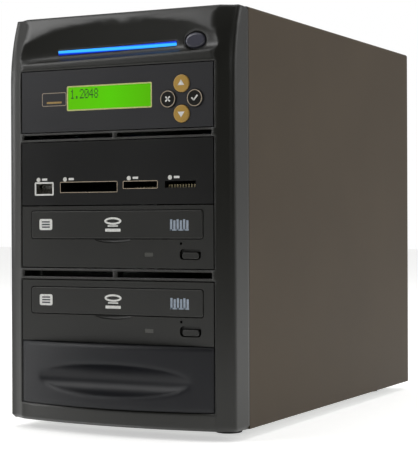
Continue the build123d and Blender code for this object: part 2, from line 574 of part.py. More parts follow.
def disc_drive(n):
    """One tray-loading disc drive, written as its ten nodes."""
    z0 = DRIVE_Z[n]
    door_low, door_high = DOOR[n]

    def deep(*distances):
        return tuple(FACE_Y + d for d in distances)

    def high(*heights):
        return tuple(z0 + h for h in heights)

    with BuildPart() as case:
        block((-UNIT_HALF, UNIT_HALF), deep(4.5, 170), high(UNIT_Z0, UNIT_Z0 + UNIT_H))
        block((-UNIT_HALF + 0.8, UNIT_HALF - 0.8), deep(4, 169.2),
              high(UNIT_Z0 + 0.8, UNIT_Z0 + UNIT_H - 0.8), Mode.SUBTRACT)
        block((-62, -12), deep(168, 171), high(3.4, 13.6), Mode.SUBTRACT)
        for depth, height in UNIT_SCREWS:
            for side in (-1, 1):
                rod((side * UNIT_HALF, FACE_Y + depth, z0 + height), SCREW_HOLE_R, 6, ALONG_X,
                    Mode.SUBTRACT)
    save(case, f"drive_{n}_case")

    scallop = ellipsoid((-1.5, FACE_Y, z0 + door_low - 0.4), (14.0, 1.7, 2.6))
    with BuildPart() as bezel:
        block((-BAY_W / 2, BAY_W / 2), deep(0, 4.5), high(0.2, BAY_H - 0.2))
        with BuildSketch(Plane.XZ.offset(-(FACE_Y + 5.0))):
            with Locations((0, z0 + (door_low + door_high) / 2)):
                RectangleRounded(2 * DOOR_HALF + 0.9, door_high - door_low + 0.9, DOOR_R + 0.4)
        extrude(amount=6.0, mode=Mode.SUBTRACT)
        add(scallop, mode=Mode.SUBTRACT)
        with BuildSketch(Plane.XZ.offset(-(FACE_Y + 2.6))):
            with Locations((EJECT_X, z0 + EJECT_LOW + 3.0)):
                RectangleRounded(15.6, 7.0, 2.6)
        extrude(amount=4.0, mode=Mode.SUBTRACT)
        block((EJECT_X - EJECT_W / 2 - 0.3, EJECT_X + EJECT_W / 2 + 0.3), deep(2, 5),
              high(EJECT_LOW - 0.3, EJECT_LOW + EJECT_H + 0.3), Mode.SUBTRACT)
        block((LENS_X - LENS_W / 2, LENS_X + LENS_W / 2), deep(-1, 5),
              high(LENS_LOW, LENS_LOW + LENS_H), Mode.SUBTRACT)
        rod((PIN_HOLE_X, FACE_Y + 2, z0 + door_low - 3.2), 0.9, 8, ALONG_Y, Mode.SUBTRACT)
    save(bezel, f"drive_{n}_bezel")

    with BuildPart() as door:
        with BuildSketch(Plane.XZ.offset(-(FACE_Y + 3.2))):
            with Locations((0, z0 + (door_low + door_high) / 2)):
                RectangleRounded(2 * DOOR_HALF, door_high - door_low, DOOR_R)
        extrude(amount=3.6)
        face_edges = door.edges().group_by(Axis.Y)[0]
        chamfer(face_edges, 0.4)
    save(door, f"drive_{n}_tray_door")

    with BuildPart() as tray:
        block((-TRAY_HALF, TRAY_HALF), deep(3.2, TRAY_END), high(TRAY_LOW, TRAY_TOP))
        centre = (0, FACE_Y + DISC_D)
        rod((*centre, z0 + TRAY_TOP), 60.4, 3.2, mode=Mode.SUBTRACT)
        rod((*centre, z0 + TRAY_TOP), 40.6, 5.4, mode=Mode.SUBTRACT)
        rod((*centre, z0 + TRAY_LOW), 18.0, 12, mode=Mode.SUBTRACT)
        block((-17, 17), deep(DISC_D, DISC_D + 54), high(TRAY_LOW - 1, TRAY_TOP + 1), Mode.SUBTRACT)
        # the door's stiffening rib
        block((-TRAY_HALF, TRAY_HALF), deep(3.2, 5.2), high(TRAY_LOW - 3, TRAY_TOP + 2))
        # rack on the underside
        rack_h = (z0 + TRAY_LOW - 5, z0 + TRAY_LOW)
        root_x = RACK_X - DEDENDUM
        block((root_x - 3, root_x), deep(8, TRAY_END), rack_h)
        teeth = int((TRAY_END - 10) / PITCH) - 1
        with BuildSketch(Plane.XY.offset(rack_h[0])):
            for k in range(-3, teeth - 3):
                y = FACE_Y + GEAR_D + (k + 0.5) * PITCH
                with BuildLine():
                    Polyline(
                        (root_x - 0.2, y - TOOTH_HALF - FLANK),
                        (RACK_X + ADDENDUM, y - TOOTH_HALF + FLANK),
                        (RACK_X + ADDENDUM, y + TOOTH_HALF - FLANK),
                        (root_x - 0.2, y + TOOTH_HALF + FLANK),
                        close=True,
                    )
                make_face()
        extrude(amount=rack_h[1] - rack_h[0])
    save(tray, f"drive_{n}_tray")

    with BuildPart() as eject:
        with BuildSketch(Plane.XZ.offset(-(FACE_Y + 6.4))):
            with Locations((EJECT_X, z0 + EJECT_LOW + EJECT_H / 2)):
                RectangleRounded(EJECT_W, EJECT_H, 1.7)
        extrude(amount=6.1)
        front_edges = eject.edges().group_by(Axis.Y)[0]
        fillet(front_edges, 0.6)
        block((EJECT_X - EJECT_W / 2 - 1, EJECT_X + EJECT_W / 2 + 1), deep(4.8, 6.4),
              high(EJECT_LOW - 0.8, EJECT_LOW + EJECT_H + 0.8))
    save(eject, f"drive_{n}_eject_button")

    with BuildPart() as lens:
        block((LENS_X - LENS_W / 2 + 0.05, LENS_X + LENS_W / 2 - 0.05), deep(0.1, 5.5),
              high(LENS_LOW + 0.05, LENS_LOW + LENS_H - 0.05))
        block((LENS_X - LENS_W / 2 - 1, LENS_X + LENS_W / 2 + 1), deep(4.5, 6.0),
              high(LENS_LOW - 1, LENS_LOW + LENS_H + 1))
    save(lens, f"drive_{n}_busy_light")

    with BuildPart() as deck:
        block((-71.5, 71.5), deep(8, 165), high(13, 15.5))
        for side in (-1, 1):
            block(sorted((side * 65.2, side * 71.5)), deep(8, 165), high(13, 34.5))
            block(sorted((side * 60.5, side * 66)), deep(8, 165), high(25, 26.7))
            block(sorted((side * 62.5, side * 66)), deep(8, 60), high(32.4, 34.5))
            # rod holders and the spindle motor's cradle
            for d0, d1 in ((74, 78), (144, 148)):
                block(sorted((side * 16.8, side * 21.6)), deep(d0, d1), high(8, 13))
            rod((side * ROD_X, FACE_Y + 111, z0 + ROD_H), ROD_R, 76, ALONG_Y, Mode.SUBTRACT)
            block(sorted((side * 14.6, side * 16.6)), deep(62, 72), high(3, 13))
            block(sorted((side * 68, side * 71.5)), deep(60, 120), high(1.3, 13))
        rod((0, FACE_Y + DISC_D, z0 + 14), 15.6, 6, mode=Mode.SUBTRACT)
        block((-24, 24), deep(79, 143), high(12, 16), Mode.SUBTRACT)
        block((-16.6, 16.6), deep(58, 82), high(3, 5.4))
        rod((0, FACE_Y + DISC_D, z0 + 7.4), 1.5, 4.2)
        # the loader gear's post, the eject switch and the rear sockets
        rod((GEAR_X, FACE_Y + GEAR_D, z0 + 20.8), 2.0, 11.4)
        rod((GEAR_X, FACE_Y + GEAR_D, z0 + 18.2), 3.2, 6.0)
        block((EJECT_X - 3, EJECT_X + 3), deep(9.2, 14), high(6, 13))
        rod((EJECT_X, FACE_Y + 8.7, z0 + 8.6), 0.8, 1.4, ALONG_Y)
        block((-60, -13), deep(156, PLUG_D), high(4, 13))
    save(deck, f"drive_{n}_mechanism")

    with BuildPart() as spindle:
        axis = (0, FACE_Y + DISC_D)
        rod((*axis, z0 + 9.2), 13.4, 6.0)
        rod((*axis, z0 + 16.6), 2.4, 9.0)
        rod((*axis, z0 + 22.0), 14.0, 2.4)
        with Locations((*axis, z0 + 24.7)):
            Cone(7.4, 6.0, 3.0)
        rod((*axis, z0 + 8.0), 1.55, 4.2, mode=Mode.SUBTRACT)
    save(spindle, f"drive_{n}_spindle")

    with BuildPart() as sled:
        block((-22, 22), deep(SLED_D - 10, SLED_D + 10), high(8, 14))
        block((-7, 7), deep(SLED_D - 7, SLED_D + 7), high(14, 19))
        rod((0, FACE_Y + SLED_D, z0 + 19.8), 3.4, 1.8)
        for side in (-1, 1):
            rod((side * ROD_X, FACE_Y + SLED_D, z0 + ROD_H), ROD_R + 0.06, 30, ALONG_Y, Mode.SUBTRACT)
    save(sled, f"drive_{n}_laser_sled")

    tip, root = GEAR_R + ADDENDUM, GEAR_R - DEDENDUM - 0.2
    tooth_corners = [(root, -TOOTH_HALF - FLANK), (tip, -TOOTH_HALF + FLANK),
                     (tip, TOOTH_HALF - FLANK), (root, TOOTH_HALF + FLANK)]
    with BuildPart() as gear:
        with BuildSketch(Plane.XY.offset(z0 + 21.3)):
            with Locations((GEAR_X, FACE_Y + GEAR_D)):
                Circle(GEAR_R - DEDENDUM)
            for k in range(GEAR_TEETH):
                turn = 2 * pi * k / GEAR_TEETH
                with BuildLine():
                    Polyline(*[(GEAR_X + u * cos(turn) - v * sin(turn),
                                FACE_Y + GEAR_D + u * sin(turn) + v * cos(turn))
                               for u, v in tooth_corners], close=True)
                make_face()
            with Locations((GEAR_X, FACE_Y + GEAR_D)):
                Circle(2.05, mode=Mode.SUBTRACT)
        extrude(amount=5.0)
    save(gear, f"drive_{n}_loader_gear")


for number in DRIVE_Z:
    disc_drive(number)

with BuildPart() as guide_rods:
    for floor in DRIVE_Z.values():
        for side in (-1, 1):
            rod((side * ROD_X, FACE_Y + 111, floor + ROD_H), ROD_R, 76, ALONG_Y)
save(guide_rods, "guide_rods")

# ---------------------------------------------------------------- blank cover of the lowest bay
GRIP_Z = 37.5
GRIP = (150.0, 23.0, 14.0)  # half axes of the finger scoop's ellipsoid
GRIP_Y = FACE_Y - 25.0
grip_hollow = ellipsoid((2.0, GRIP_Y, GRIP_Z), GRIP)
grip_shell = ellipsoid((2.0, GRIP_Y, GRIP_Z), tuple(half + 2.2 for half in GRIP))
blank_z = (BLANK_Z, BLANK_Z + BLANK_H)
with BuildPart() as blank_bay_cover:
    with BuildSketch(Plane.XY.offset(blank_z[0])):
        with BuildLine():
            bulged_outline(BAY_W / 2, BULGE, FACE_Y, FACE_Y + 4.0)
        make_face()
    extrude(amount=BLANK_H)
    add(grip_hollow, mode=Mode.SUBTRACT)
    # hollow back, with the scoop's shell left standing
    with BuildPart(mode=Mode.PRIVATE) as back_hollow:
        with BuildSketch(Plane.XY.offset(blank_z[0] + 2.2)):
            with BuildLine():
                bulged_outline(BAY_W / 2 - 2.2, BULGE, FACE_Y + 2.4, FACE_Y + 5.0)
            make_face()
        extrude(amount=BLANK_H - 4.4)
        add(grip_shell, mode=Mode.SUBTRACT)
    add(back_hollow.part, mode=Mode.SUBTRACT)
    # snap arms that hook behind the bay rails' front flanges
    for side in (-1, 1):
        arm = sorted((side * 69.5, side * 71.5))
        block(arm, (FACE_Y + 2.0, FACE_Y + 30.0), (GRIP_Z - 8, GRIP_Z + 8))
save(blank_bay_cover, "blank_bay_cover")

# ---------------------------------------------------------------- fans
GUARD_RINGS = (9.0, 17.0, 25.0, 33.0)
WIRE_R = 0.8


def fan_rotor(node, x, z, y_front):
    """A seven-bladed rotor on a shaft that runs in the stator behind it."""
    with BuildPart() as rotor:
        rod((x, y_front + 9, z), 15.0, 18, ALONG_Y)
        for k in range(7):
            blade = Plane(origin=(x, y_front + 9, z)).rotated((0, 360 / 7 * k, 0))
            with BuildPart(blade, mode=Mode.PRIVATE) as wing:
                with Locations((25.2, 0, 0)):
                    Box(22.0, 16.0, 1.4, rotation=(38, 0, 0))
            add(wing.part)
        rod((x, y_front + 19.6, z), 2.0, 3.4, ALONG_Y)
        rod((x, y_front + 4, z), 13.0, 14, ALONG_Y, Mode.SUBTRACT)
        rod((x, y_front + 1, z), 15.0, 2, ALONG_Y)
    save(rotor, node)


def stator(x, z, y_front, reach):
    """Inside a frame's builder: a motor disc with a bearing hole, and four arms."""
    y = (y_front + 18.6, y_front + 22.0)
    rod((x, sum(y) / 2, z), 15.5, y[1] - y[0], ALONG_Y)
    block((x - reach, x + reach), y, (z - 2, z + 2))
    block((x - 2, x + 2), y, (z - reach, z + reach))
    rod((x, sum(y) / 2, z), 2.05, 10, ALONG_Y, Mode.SUBTRACT)


FAN_FRONT = REAR_IN_Y - 24.0
with BuildPart() as rear_fan_frame:
    block((FAN_X - FAN_HALF, FAN_X + FAN_HALF), (REAR_IN_Y - 25, REAR_IN_Y),
          (FAN_Z - FAN_HALF, FAN_Z + FAN_HALF))
    rod((FAN_X, REAR_IN_Y - 12, FAN_Z), 38.4, 30, ALONG_Y, Mode.SUBTRACT)
    with BuildPart(mode=Mode.PRIVATE) as waist:
        block((FAN_X - 50, FAN_X + 50), (REAR_IN_Y - 21, REAR_IN_Y - 4), (FAN_Z - 50, FAN_Z + 50))
        rod((FAN_X, REAR_IN_Y - 12, FAN_Z), 39.9, 40, ALONG_Y, Mode.SUBTRACT)
    add(waist.part, mode=Mode.SUBTRACT)
    for x, z in FAN_HOLES:
        rod((x, REAR_IN_Y - 12, z), SCREW_HOLE_R, 40, ALONG_Y, Mode.SUBTRACT)
    stator(FAN_X, FAN_Z, FAN_FRONT, 39.0)
save(rear_fan_frame, "rear_fan_frame")
fan_rotor("rear_fan_rotor", FAN_X, FAN_Z, FAN_FRONT)

with BuildPart() as finger_guards:
    for x, z, y in ((FAN_X, FAN_Z, REAR_OUT_Y), (PSU_FAN_X, PSU_FAN_Z, REAR_IN_Y)):
        for ring in GUARD_RINGS:
            with Locations(Location((x, y + WIRE_R, z), (90, 0, 0))):
                Torus(ring, WIRE_R)
        for angle in (45, 135):
            with Locations(Location((x, y + GUARD_T / 2, z), (0, angle, 0))):
                Box(2 * 48.0, GUARD_T, 1.6)
        for hole_x, hole_z in fan_holes(x, z):
            rod((hole_x, y + GUARD_T / 2, hole_z), 3.4, GUARD_T, ALONG_Y)
        for hole_x, hole_z in fan_holes(x, z):
            rod((hole_x, y + GUARD_T / 2, hole_z), SCREW_HOLE_R, 4, ALONG_Y, Mode.SUBTRACT)
save(finger_guards, "finger_guards")

# ---------------------------------------------------------------- power supply
PSU_Y = (REAR_IN_Y - 128.0, REAR_IN_Y)
PSU_Z = (196.0, 282.0)
INLET_X, INLET_Z = 38.0, 257.0
ROCKER_Z = 230.0
PSU_FAN_FRONT = REAR_IN_Y - 25.0
with BuildPart() as psu_case:
    block((-75, 75), PSU_Y, PSU_Z)
    block((-74, 74), (PSU_Y[0] + 1, PSU_Y[1] - 1), (PSU_Z[0] + 1, PSU_Z[1] - 1), Mode.SUBTRACT)
    rod((PSU_FAN_X, PSU_Y[1], PSU_FAN_Z), 37.5, 6, ALONG_Y, Mode.SUBTRACT)
    block((INLET_X - 13.6, INLET_X + 13.6), (PSU_Y[1] - 2, PSU_Y[1] + 1), (218, 268), Mode.SUBTRACT)
    # vent slots on the inner end
    for k in range(-7, 8):
        block((k * 7.0 - 1.6, k * 7.0 + 1.6), (PSU_Y[0] - 1, PSU_Y[0] + 2), (222, 272), Mode.SUBTRACT)
    for x, z in PSU_SCREWS + PSU_FAN_HOLES:
        rod((x, PSU_Y[1], z), SCREW_HOLE_R, 6, ALONG_Y, Mode.SUBTRACT)
    # the fan's mount, pressed into the rear end
    stator(PSU_FAN_X, PSU_FAN_Z, PSU_FAN_FRONT, 38.6)
    with BuildPart(mode=Mode.PRIVATE) as shroud:
        rod((PSU_FAN_X, PSU_Y[1] - 10, PSU_FAN_Z), 39.4, 18, ALONG_Y)
        rod((PSU_FAN_X, PSU_Y[1] - 10, PSU_FAN_Z), 38.2, 20, ALONG_Y, Mode.SUBTRACT)
    add(shroud.part)
    # holes for the leads, each in a bush
    for x in (-49.0, -66.0, 46.0):
        rod((x, PSU_Y[0], 206.0), 2.6, 6, ALONG_Y, Mode.SUBTRACT)
    rod((30.0, REAR_IN_Y - 38.0, PSU_Z[0]), 1.3, 6, mode=Mode.SUBTRACT)
save(psu_case, "psu_case")
fan_rotor("psu_fan_rotor", PSU_FAN_X, PSU_FAN_Z, PSU_FAN_FRONT)

with BuildPart() as psu_board:
    block((-70, 70), (PSU_Y[0] + 4, PSU_Y[1] - 28), (PSU_Z[0] + 7, PSU_Z[0] + 8.6))
    for x in (-64, 64):
        for y in (PSU_Y[0] + 8, PSU_Y[1] - 34):
            rod((x, y, PSU_Z[0] + 4), 3.0, 6.0)
    block((-20, 18), (PSU_Y[0] + 30, PSU_Y[0] + 62), (PSU_Z[0] + 8.6, PSU_Z[0] + 40))
    for x in (-46, 46):
        block((x - 2, x + 2), (PSU_Y[0] + 14, PSU_Y[0] + 84), (PSU_Z[0] + 8.6, PSU_Z[0] + 62))
        for z in (28, 38, 48, 58):
            block((x - 9, x + 9), (PSU_Y[0] + 14, PSU_Y[0] + 84), (PSU_Z[0] + z, PSU_Z[0] + z + 1.6))
    for x, y in ((-10, 78), (16, 78), (-30, 16), (0, 16), (26, 16)):
        rod((x, PSU_Y[0] + y, PSU_Z[0] + 23), 8.0, 29.0)
save(psu_board, "psu_board")

with BuildPart() as mains_inlet:
    block((INLET_X - 15.5, INLET_X + 15.5), (PSU_Y[1], PSU_Y[1] + 2), (216, 270))
    block((INLET_X - 13.4, INLET_X + 13.4), (PSU_Y[1] - 20, PSU_Y[1]), (218.2, 267.8))
    block((INLET_X - 12.0, INLET_X + 12.0), (PSU_Y[1] - 16, PSU_Y[1] + 3),
          (INLET_Z - 8.5, INLET_Z + 8.5), Mode.SUBTRACT)
    for dx, dz in ((-7, -2), (0, 2), (7, -2)):
        block((INLET_X + dx - 1, INLET_X + dx + 1), (PSU_Y[1] - 17, PSU_Y[1]),
              (INLET_Z + dz - 2, INLET_Z + dz + 2))
    block((INLET_X - 7.0, INLET_X + 7.0), (PSU_Y[1] - 12, PSU_Y[1] + 3),
          (ROCKER_Z - 10.2, ROCKER_Z + 10.2), Mode.SUBTRACT)
    for side in (-1, 1):
        rod((INLET_X + side * 6.4, PSU_Y[1] - 3.0, ROCKER_Z), 1.2, 1.6, ALONG_X)
save(mains_inlet, "mains_inlet")

ROCKER_TIP = radians(7.0)  # the rocker rests tipped this far to its off side
PIVOT_Y = PSU_Y[1] - 3.0
with BuildPart() as mains_rocker:
    tipped = Plane(origin=(INLET_X - 6.6, PIVOT_Y, ROCKER_Z),
                   x_dir=(0, cos(ROCKER_TIP), -sin(ROCKER_TIP)), z_dir=(1, 0, 0))
    with BuildSketch(tipped):
        with BuildLine():
            Polyline((-3, -4), (3.0, -9.0), (3.6, 0), (3.0, 9.0), (-3, 4), close=True)
        make_face()
    extrude(amount=13.2)
    for side in (-1, 1):
        rod((INLET_X + side * 6.4, PIVOT_Y, ROCKER_Z), 1.27, 1.7, ALONG_X, Mode.SUBTRACT)
save(mains_rocker, "mains_rocker")

# ---------------------------------------------------------------- cables
BOARD_PLUG_Z = BOARD_Z + 5.3
BOARD_PLUG_D = 145.0


def cable(route, radius, corner, plugs):
    """A sleeved cable along a route of points (x, distance behind the front, z), with its plugs.

    Each plug is (centre x, first distance, last distance, centre z, width, height).
    """
    points = [(x, FACE_Y + d, z) for x, d, z in route]
    with BuildLine() as run:
        FilletPolyline(*points, radius=corner)
    with BuildSketch(Plane(origin=run.line @ 0, z_dir=run.line % 0)) as section:
        Circle(radius)
    sweep(section.sketch, path=run.line)
    for x, d0, d1, z, width, height in plugs:
        block((x - width / 2, x + width / 2), (FACE_Y + d0, FACE_Y + d1),
              (z - height / 2, z + height / 2))


def drive_plug(kind, floor):
    """The plug on a drive's rear socket."""
    width = 20.0 if kind == "power" else 10.0
    return (PLUG_X[kind], PLUG_D, PLUG_D + 13.0, floor + PLUG_H, width, 6.0)


def board_plug(x):
    """The plug on the controller board's rear edge."""
    return (x, BOARD_PLUG_D, BOARD_PLUG_D + 12.0, BOARD_PLUG_Z, 10.0, 6.0)


Z1, Z2 = DRIVE_Z[1] + PLUG_H, DRIVE_Z[2] + PLUG_H
with BuildPart() as data_cables:
    cable([(-19, 184, Z1), (-19, 194, Z1), (-22, 194, BOARD_PLUG_Z), (-22, 156, BOARD_PLUG_Z)],
          2.0, 8.0, [drive_plug("data", DRIVE_Z[1]), board_plug(-22)])
    cable([(-19, 184, Z2), (-19, 194, Z2), (-33, 194, Z2 + 34), (-33, 194, 186),
           (-40, 194, BOARD_PLUG_Z), (-40, 156, BOARD_PLUG_Z)],
          2.0, 8.0, [drive_plug("data", DRIVE_Z[2]), board_plug(-40)])
    cable([(28, 86, READER_BOARD_Z + 5), (28, 168, READER_BOARD_Z + 5), (10, 168, BOARD_PLUG_Z),
           (10, 156, BOARD_PLUG_Z)],
          1.8, 7.0, [(28, 76, 88, READER_BOARD_Z + 5, 10.0, 6.0), board_plug(10)])
save(data_cables, "data_cables")

PSU_D = PSU_Y[0] - FACE_Y
with BuildPart() as power_cables:
    cable([(-49, 184, Z1), (-49, 195, Z1), (-49, 195, 206), (-49, PSU_D + 3, 206)],
          2.5, 8.0, [drive_plug("power", DRIVE_Z[1])])
    cable([(-49, 184, Z2), (-49, 195, Z2), (-66, 195, Z2 + 30), (-66, 195, 206), (-66, PSU_D + 3, 206)],
          2.5, 8.0, [drive_plug("power", DRIVE_Z[2])])
    cable([(46, 156, BOARD_PLUG_Z), (46, 178, BOARD_PLUG_Z), (46, 192, 206), (46, PSU_D + 3, 206)],
          2.5, 8.0, [board_plug(46)])
    fan_lead_d = REAR_IN_Y - 38.0 - FACE_Y
    cable([(30, REAR_IN_Y - 25 - FACE_Y, 139), (30, fan_lead_d, 139), (30, fan_lead_d, PSU_Z[0] + 3)],
          1.2, 6.0, [])
    switch_d = SWITCH_Y + 14 - FACE_Y
    lead_d = switch_d + 16
    cable([(BUTTON_X, switch_d + 5, BUTTON_Z), (BUTTON_X, lead_d, BUTTON_Z),
           (BUTTON_X, lead_d, BOARD_Z + 6)],
          1.2, 6.0, [(BUTTON_X, switch_d, switch_d + 7, BUTTON_Z, 9.0, 5.0),
                     (BUTTON_X, lead_d - 4, lead_d + 4, BOARD_Z + 4.6, 8.0, 6.0)])
save(power_cables, "power_cables")
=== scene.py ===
"""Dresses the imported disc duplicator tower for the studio.

The CAD solids give every size. Here the moulded, pressed and printed surfaces get their eased
edges, their small fittings and their finishes, and the tower is put on a pale floor in soft light.
"""

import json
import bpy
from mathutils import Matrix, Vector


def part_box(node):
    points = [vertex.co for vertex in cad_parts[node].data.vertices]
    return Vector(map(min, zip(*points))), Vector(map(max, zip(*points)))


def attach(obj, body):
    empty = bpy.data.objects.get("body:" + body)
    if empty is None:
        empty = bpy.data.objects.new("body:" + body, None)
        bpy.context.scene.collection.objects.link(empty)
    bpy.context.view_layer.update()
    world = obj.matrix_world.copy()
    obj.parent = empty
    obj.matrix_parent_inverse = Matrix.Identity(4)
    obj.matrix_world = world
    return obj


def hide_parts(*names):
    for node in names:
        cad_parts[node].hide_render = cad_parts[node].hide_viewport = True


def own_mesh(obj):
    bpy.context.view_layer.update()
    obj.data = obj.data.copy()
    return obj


bl_info = {
    "name": "Disc duplicator tower",
    "version": (1, 0, 0),
    "blender": (4, 5, 0),
    "location": "3D View > Sidebar > Duplicator",
    "description": "Finishes a small disc copying tower and sets it in a plain studio",
    "category": "Object",
}

from math import cos, pi, radians, sin

import bpy
from mathutils import Matrix, Vector

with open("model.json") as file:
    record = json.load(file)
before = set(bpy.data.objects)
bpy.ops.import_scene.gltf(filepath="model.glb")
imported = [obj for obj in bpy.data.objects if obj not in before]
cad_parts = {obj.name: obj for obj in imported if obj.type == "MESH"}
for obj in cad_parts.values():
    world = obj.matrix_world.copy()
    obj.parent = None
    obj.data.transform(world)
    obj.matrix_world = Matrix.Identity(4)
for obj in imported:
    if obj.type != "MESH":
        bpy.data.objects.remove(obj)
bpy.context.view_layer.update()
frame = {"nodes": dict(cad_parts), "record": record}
MM = 0.001
FACE_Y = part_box("control_panel")[0][1]  # plane of the unit fronts, in metres

# the values below are in millimetres, and x and z are places on the front
BUTTON_AT = (58.4, 261.3)  # middle of the power button's opening
LED_Z = 259.8  # middle line of the blue light
LED_REACH = 1.6  # from that line to where its colour ramp ends
DISPLAY_AT = (-4.2, 226.7)  # middle of the display window
DISPLAY_HALF = 32.7  # half its lit width
NAME_PLATE_X = -47.6  # middle of the blank name plate
KEY_CAP_RISE = 1.0  # the key caps stand this far out of the plate
CELL_STEP, DOT_STEP_X, DOT_STEP_Z = 3.75, 0.66, 0.92  # pitches of a display character and its dots
DOTS_FROM = (-34.4, 232.4)  # top left dot of the display's first character
TILE_X, DISC_X, BARS_X = -54.5, -1.2, 43.2  # the three marks on a tray door

EVEN = (1.0, 1.0, 1.0)  # a metal's grain that is drawn out along no way
FACING_FRONT = (pi / 2, 0, 0)  # turns a flat primitive to face the front
SMOOTH_ANGLE = 35.0  # degrees up to which two faces are shaded as one surface
BEZEL_ANGLE = 14.0  # the same for the moulded front, whose hollow meets it at a low angle
EASE_ANGLE = 40.0  # degrees from which an edge is rounded
MERGE_MM = 0.002  # points closer than this become one
FLAT_ANGLE = 0.05  # degrees within which neighbouring facets count as one face
WHITE, DARK_ROOM = "#f2f2f0", "#3c3c3c"  # the floor behind its edge and in front of it
FLOOR_GLOW = 0.5  # what the floor adds where it is seen, so that it reads as white
FLOOR_FADE = 0.3  # metres over which the floor darkens in front of its edge
ROOM_FADE = (-0.7, -0.1)  # Y of a direction, from the dark front of the room to its light rest

LAMPS = (
    # name, place and aim in metres, side of the square, watts
    ("softbox_over", (0.0, 0.25, 1.7), (0, 0.1, 0.1), 1.5, 13.0),
    ("softbox_front", (-1.0, -1.0, 1.1), (0, 0, 0.15), 0.75, 8.5),
    ("softbox_left", (-1.45, -0.95, 0.38), (0, -0.1, 0.2), 0.45, 4.0),
    ("softbox_low", (-0.02, -1.7, 0.62), (0, -0.1, 0.2), 0.28, 0.5),
    ("softbox_right", (1.7, 0.6, 0.9), (0.1, 0.05, 0.15), 1.1, 7.0),
)
# the photograph's camera, fitted to the case's edges: place in metres, angles in degrees
CAMERA_PLACE = (0.49113, -0.99399, 0.14255)
CAMERA_YAW, CAMERA_DIP, CAMERA_ROLL = 26.888, 0.105, -0.216
CAMERA_LENS, CAMERA_SENSOR = 115.21, 36.0


# ---------------------------------------------------------------- small tools
def linear(colour):
    """An sRGB hex colour as linear red, green, blue and alpha."""
    channels = []
    for start in (1, 3, 5):
        level = int(colour[start:start + 2], 16) / 255
        channels.append(level / 12.92 if level <= 0.04045 else ((level + 0.055) / 1.055) ** 2.4)
    return (*channels, 1.0)


def deselect_all():
    """Back to object mode with nothing selected."""
    if bpy.context.object and bpy.context.object.mode != "OBJECT":
        bpy.ops.object.mode_set(mode="OBJECT")
    bpy.ops.object.select_all(action="DESELECT")


def pick(*pieces):
    """Select only these objects, the first one active."""
    deselect_all()
    for piece in pieces:
        piece.select_set(True)
    bpy.context.view_layer.objects.active = pieces[0]


def edit_all():
    """Edit mode with the whole mesh selected."""
    bpy.ops.object.mode_set(mode="EDIT")
    bpy.ops.mesh.select_all(action="SELECT")


def settle(piece):
    """Leave edit mode and put the object's place into its mesh."""
    bpy.ops.object.mode_set(mode="OBJECT")
    pick(piece)
    bpy.ops.object.transform_apply(location=True, rotation=True, scale=True)


def smooth(piece, angle=SMOOTH_ANGLE):
    """Smooth shading that breaks at edges sharper than the angle, and keeps flat faces flat."""
    pick(piece)
    bpy.ops.object.shade_smooth_by_angle(angle=radians(angle))
    even = piece.modifiers.new("even faces", "WEIGHTED_NORMAL")
    even.keep_sharp = True
    even.weight = 80  # of 100: large faces hold their direction
    bpy.ops.object.modifier_apply(modifier=even.name)


def ease(piece, width_mm, segments=2):
    """Round the sharp edges by a few tenths of a millimetre, as moulding and pressing do."""
    pick(piece)
    rounding = piece.modifiers.new("rounded edges", "BEVEL")
    rounding.width = width_mm * MM
    rounding.segments = segments
    rounding.limit_method = "ANGLE"
    rounding.angle_limit = radians(EASE_ANGLE)
    bpy.ops.object.modifier_apply(modifier=rounding.name)


def coat(piece, material):
    """Give the whole piece one material."""
    piece.data.materials.clear()
    piece.data.materials.append(material)


def finish_node(node, material):
    """Give a CAD node that stays its material, on the object and not on its mesh."""
    for slot in frame["nodes"][node].material_slots:
        slot.link = "OBJECT"
        slot.material = material


def middle_of(node):
    """Middle of a CAD node as seen from the front: x and z in millimetres."""
    low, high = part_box(node)
    return (low[0] + high[0]) / 2 / MM, (low[2] + high[2]) / 2 / MM


def body_of(node):
    """The body that a CAD node rides on."""
    groups = frame["record"]["behaviour"]["bodies"]
    return next(body for body, members in groups.items() if node in members)


def dress(node, material, edge_mm, segments=2, angle=SMOOTH_ANGLE):
    """A merged copy of a CAD node with eased edges, which stands for it."""
    pick(frame["nodes"][node])
    bpy.ops.object.duplicate()
    piece = bpy.context.object
    for key in [key for key in piece.keys() if key.startswith("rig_")]:
        del piece[key]
    piece.parent = None
    piece.name = node + "_dressed"
    edit_all()
    bpy.ops.mesh.remove_doubles(threshold=MERGE_MM * MM)
    bpy.ops.mesh.dissolve_limited(angle_limit=radians(FLAT_ANGLE))
    bpy.ops.object.mode_set(mode="OBJECT")
    if edge_mm:
        ease(piece, edge_mm, segments)
    smooth(piece, angle)
    coat(piece, material)
    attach(piece, body_of(node))
    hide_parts(node)
    return piece


def mount(piece, material, node):
    """Finish a new piece and let it ride with the CAD node that carries it."""
    coat(piece, material)
    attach(piece, body_of(node))


def thicken(piece, thick):
    """Draw the flat mesh in edit mode back by its thickness, and turn its faces outwards."""
    bpy.ops.mesh.extrude_region_move(TRANSFORM_OT_translate={"value": (0, thick * MM, 0)})
    bpy.ops.mesh.select_all(action="SELECT")
    bpy.ops.mesh.normals_make_consistent(inside=False)
    settle(piece)


def tile(name, x, z, width, height, corner, front, thick):
    """A thin rounded tile facing the front, in millimetres; front is its face's Y."""
    deselect_all()
    bpy.ops.mesh.primitive_plane_add(size=1.0, location=(x * MM, front, z * MM),
                                     rotation=FACING_FRONT)
    piece = bpy.context.object
    piece.name = name
    piece.scale = (width * MM, height * MM, 1)
    settle(piece)
    edit_all()
    if corner:
        bpy.ops.mesh.bevel(offset=corner * MM, segments=4, affect="VERTICES")
    thicken(piece, thick)
    return piece


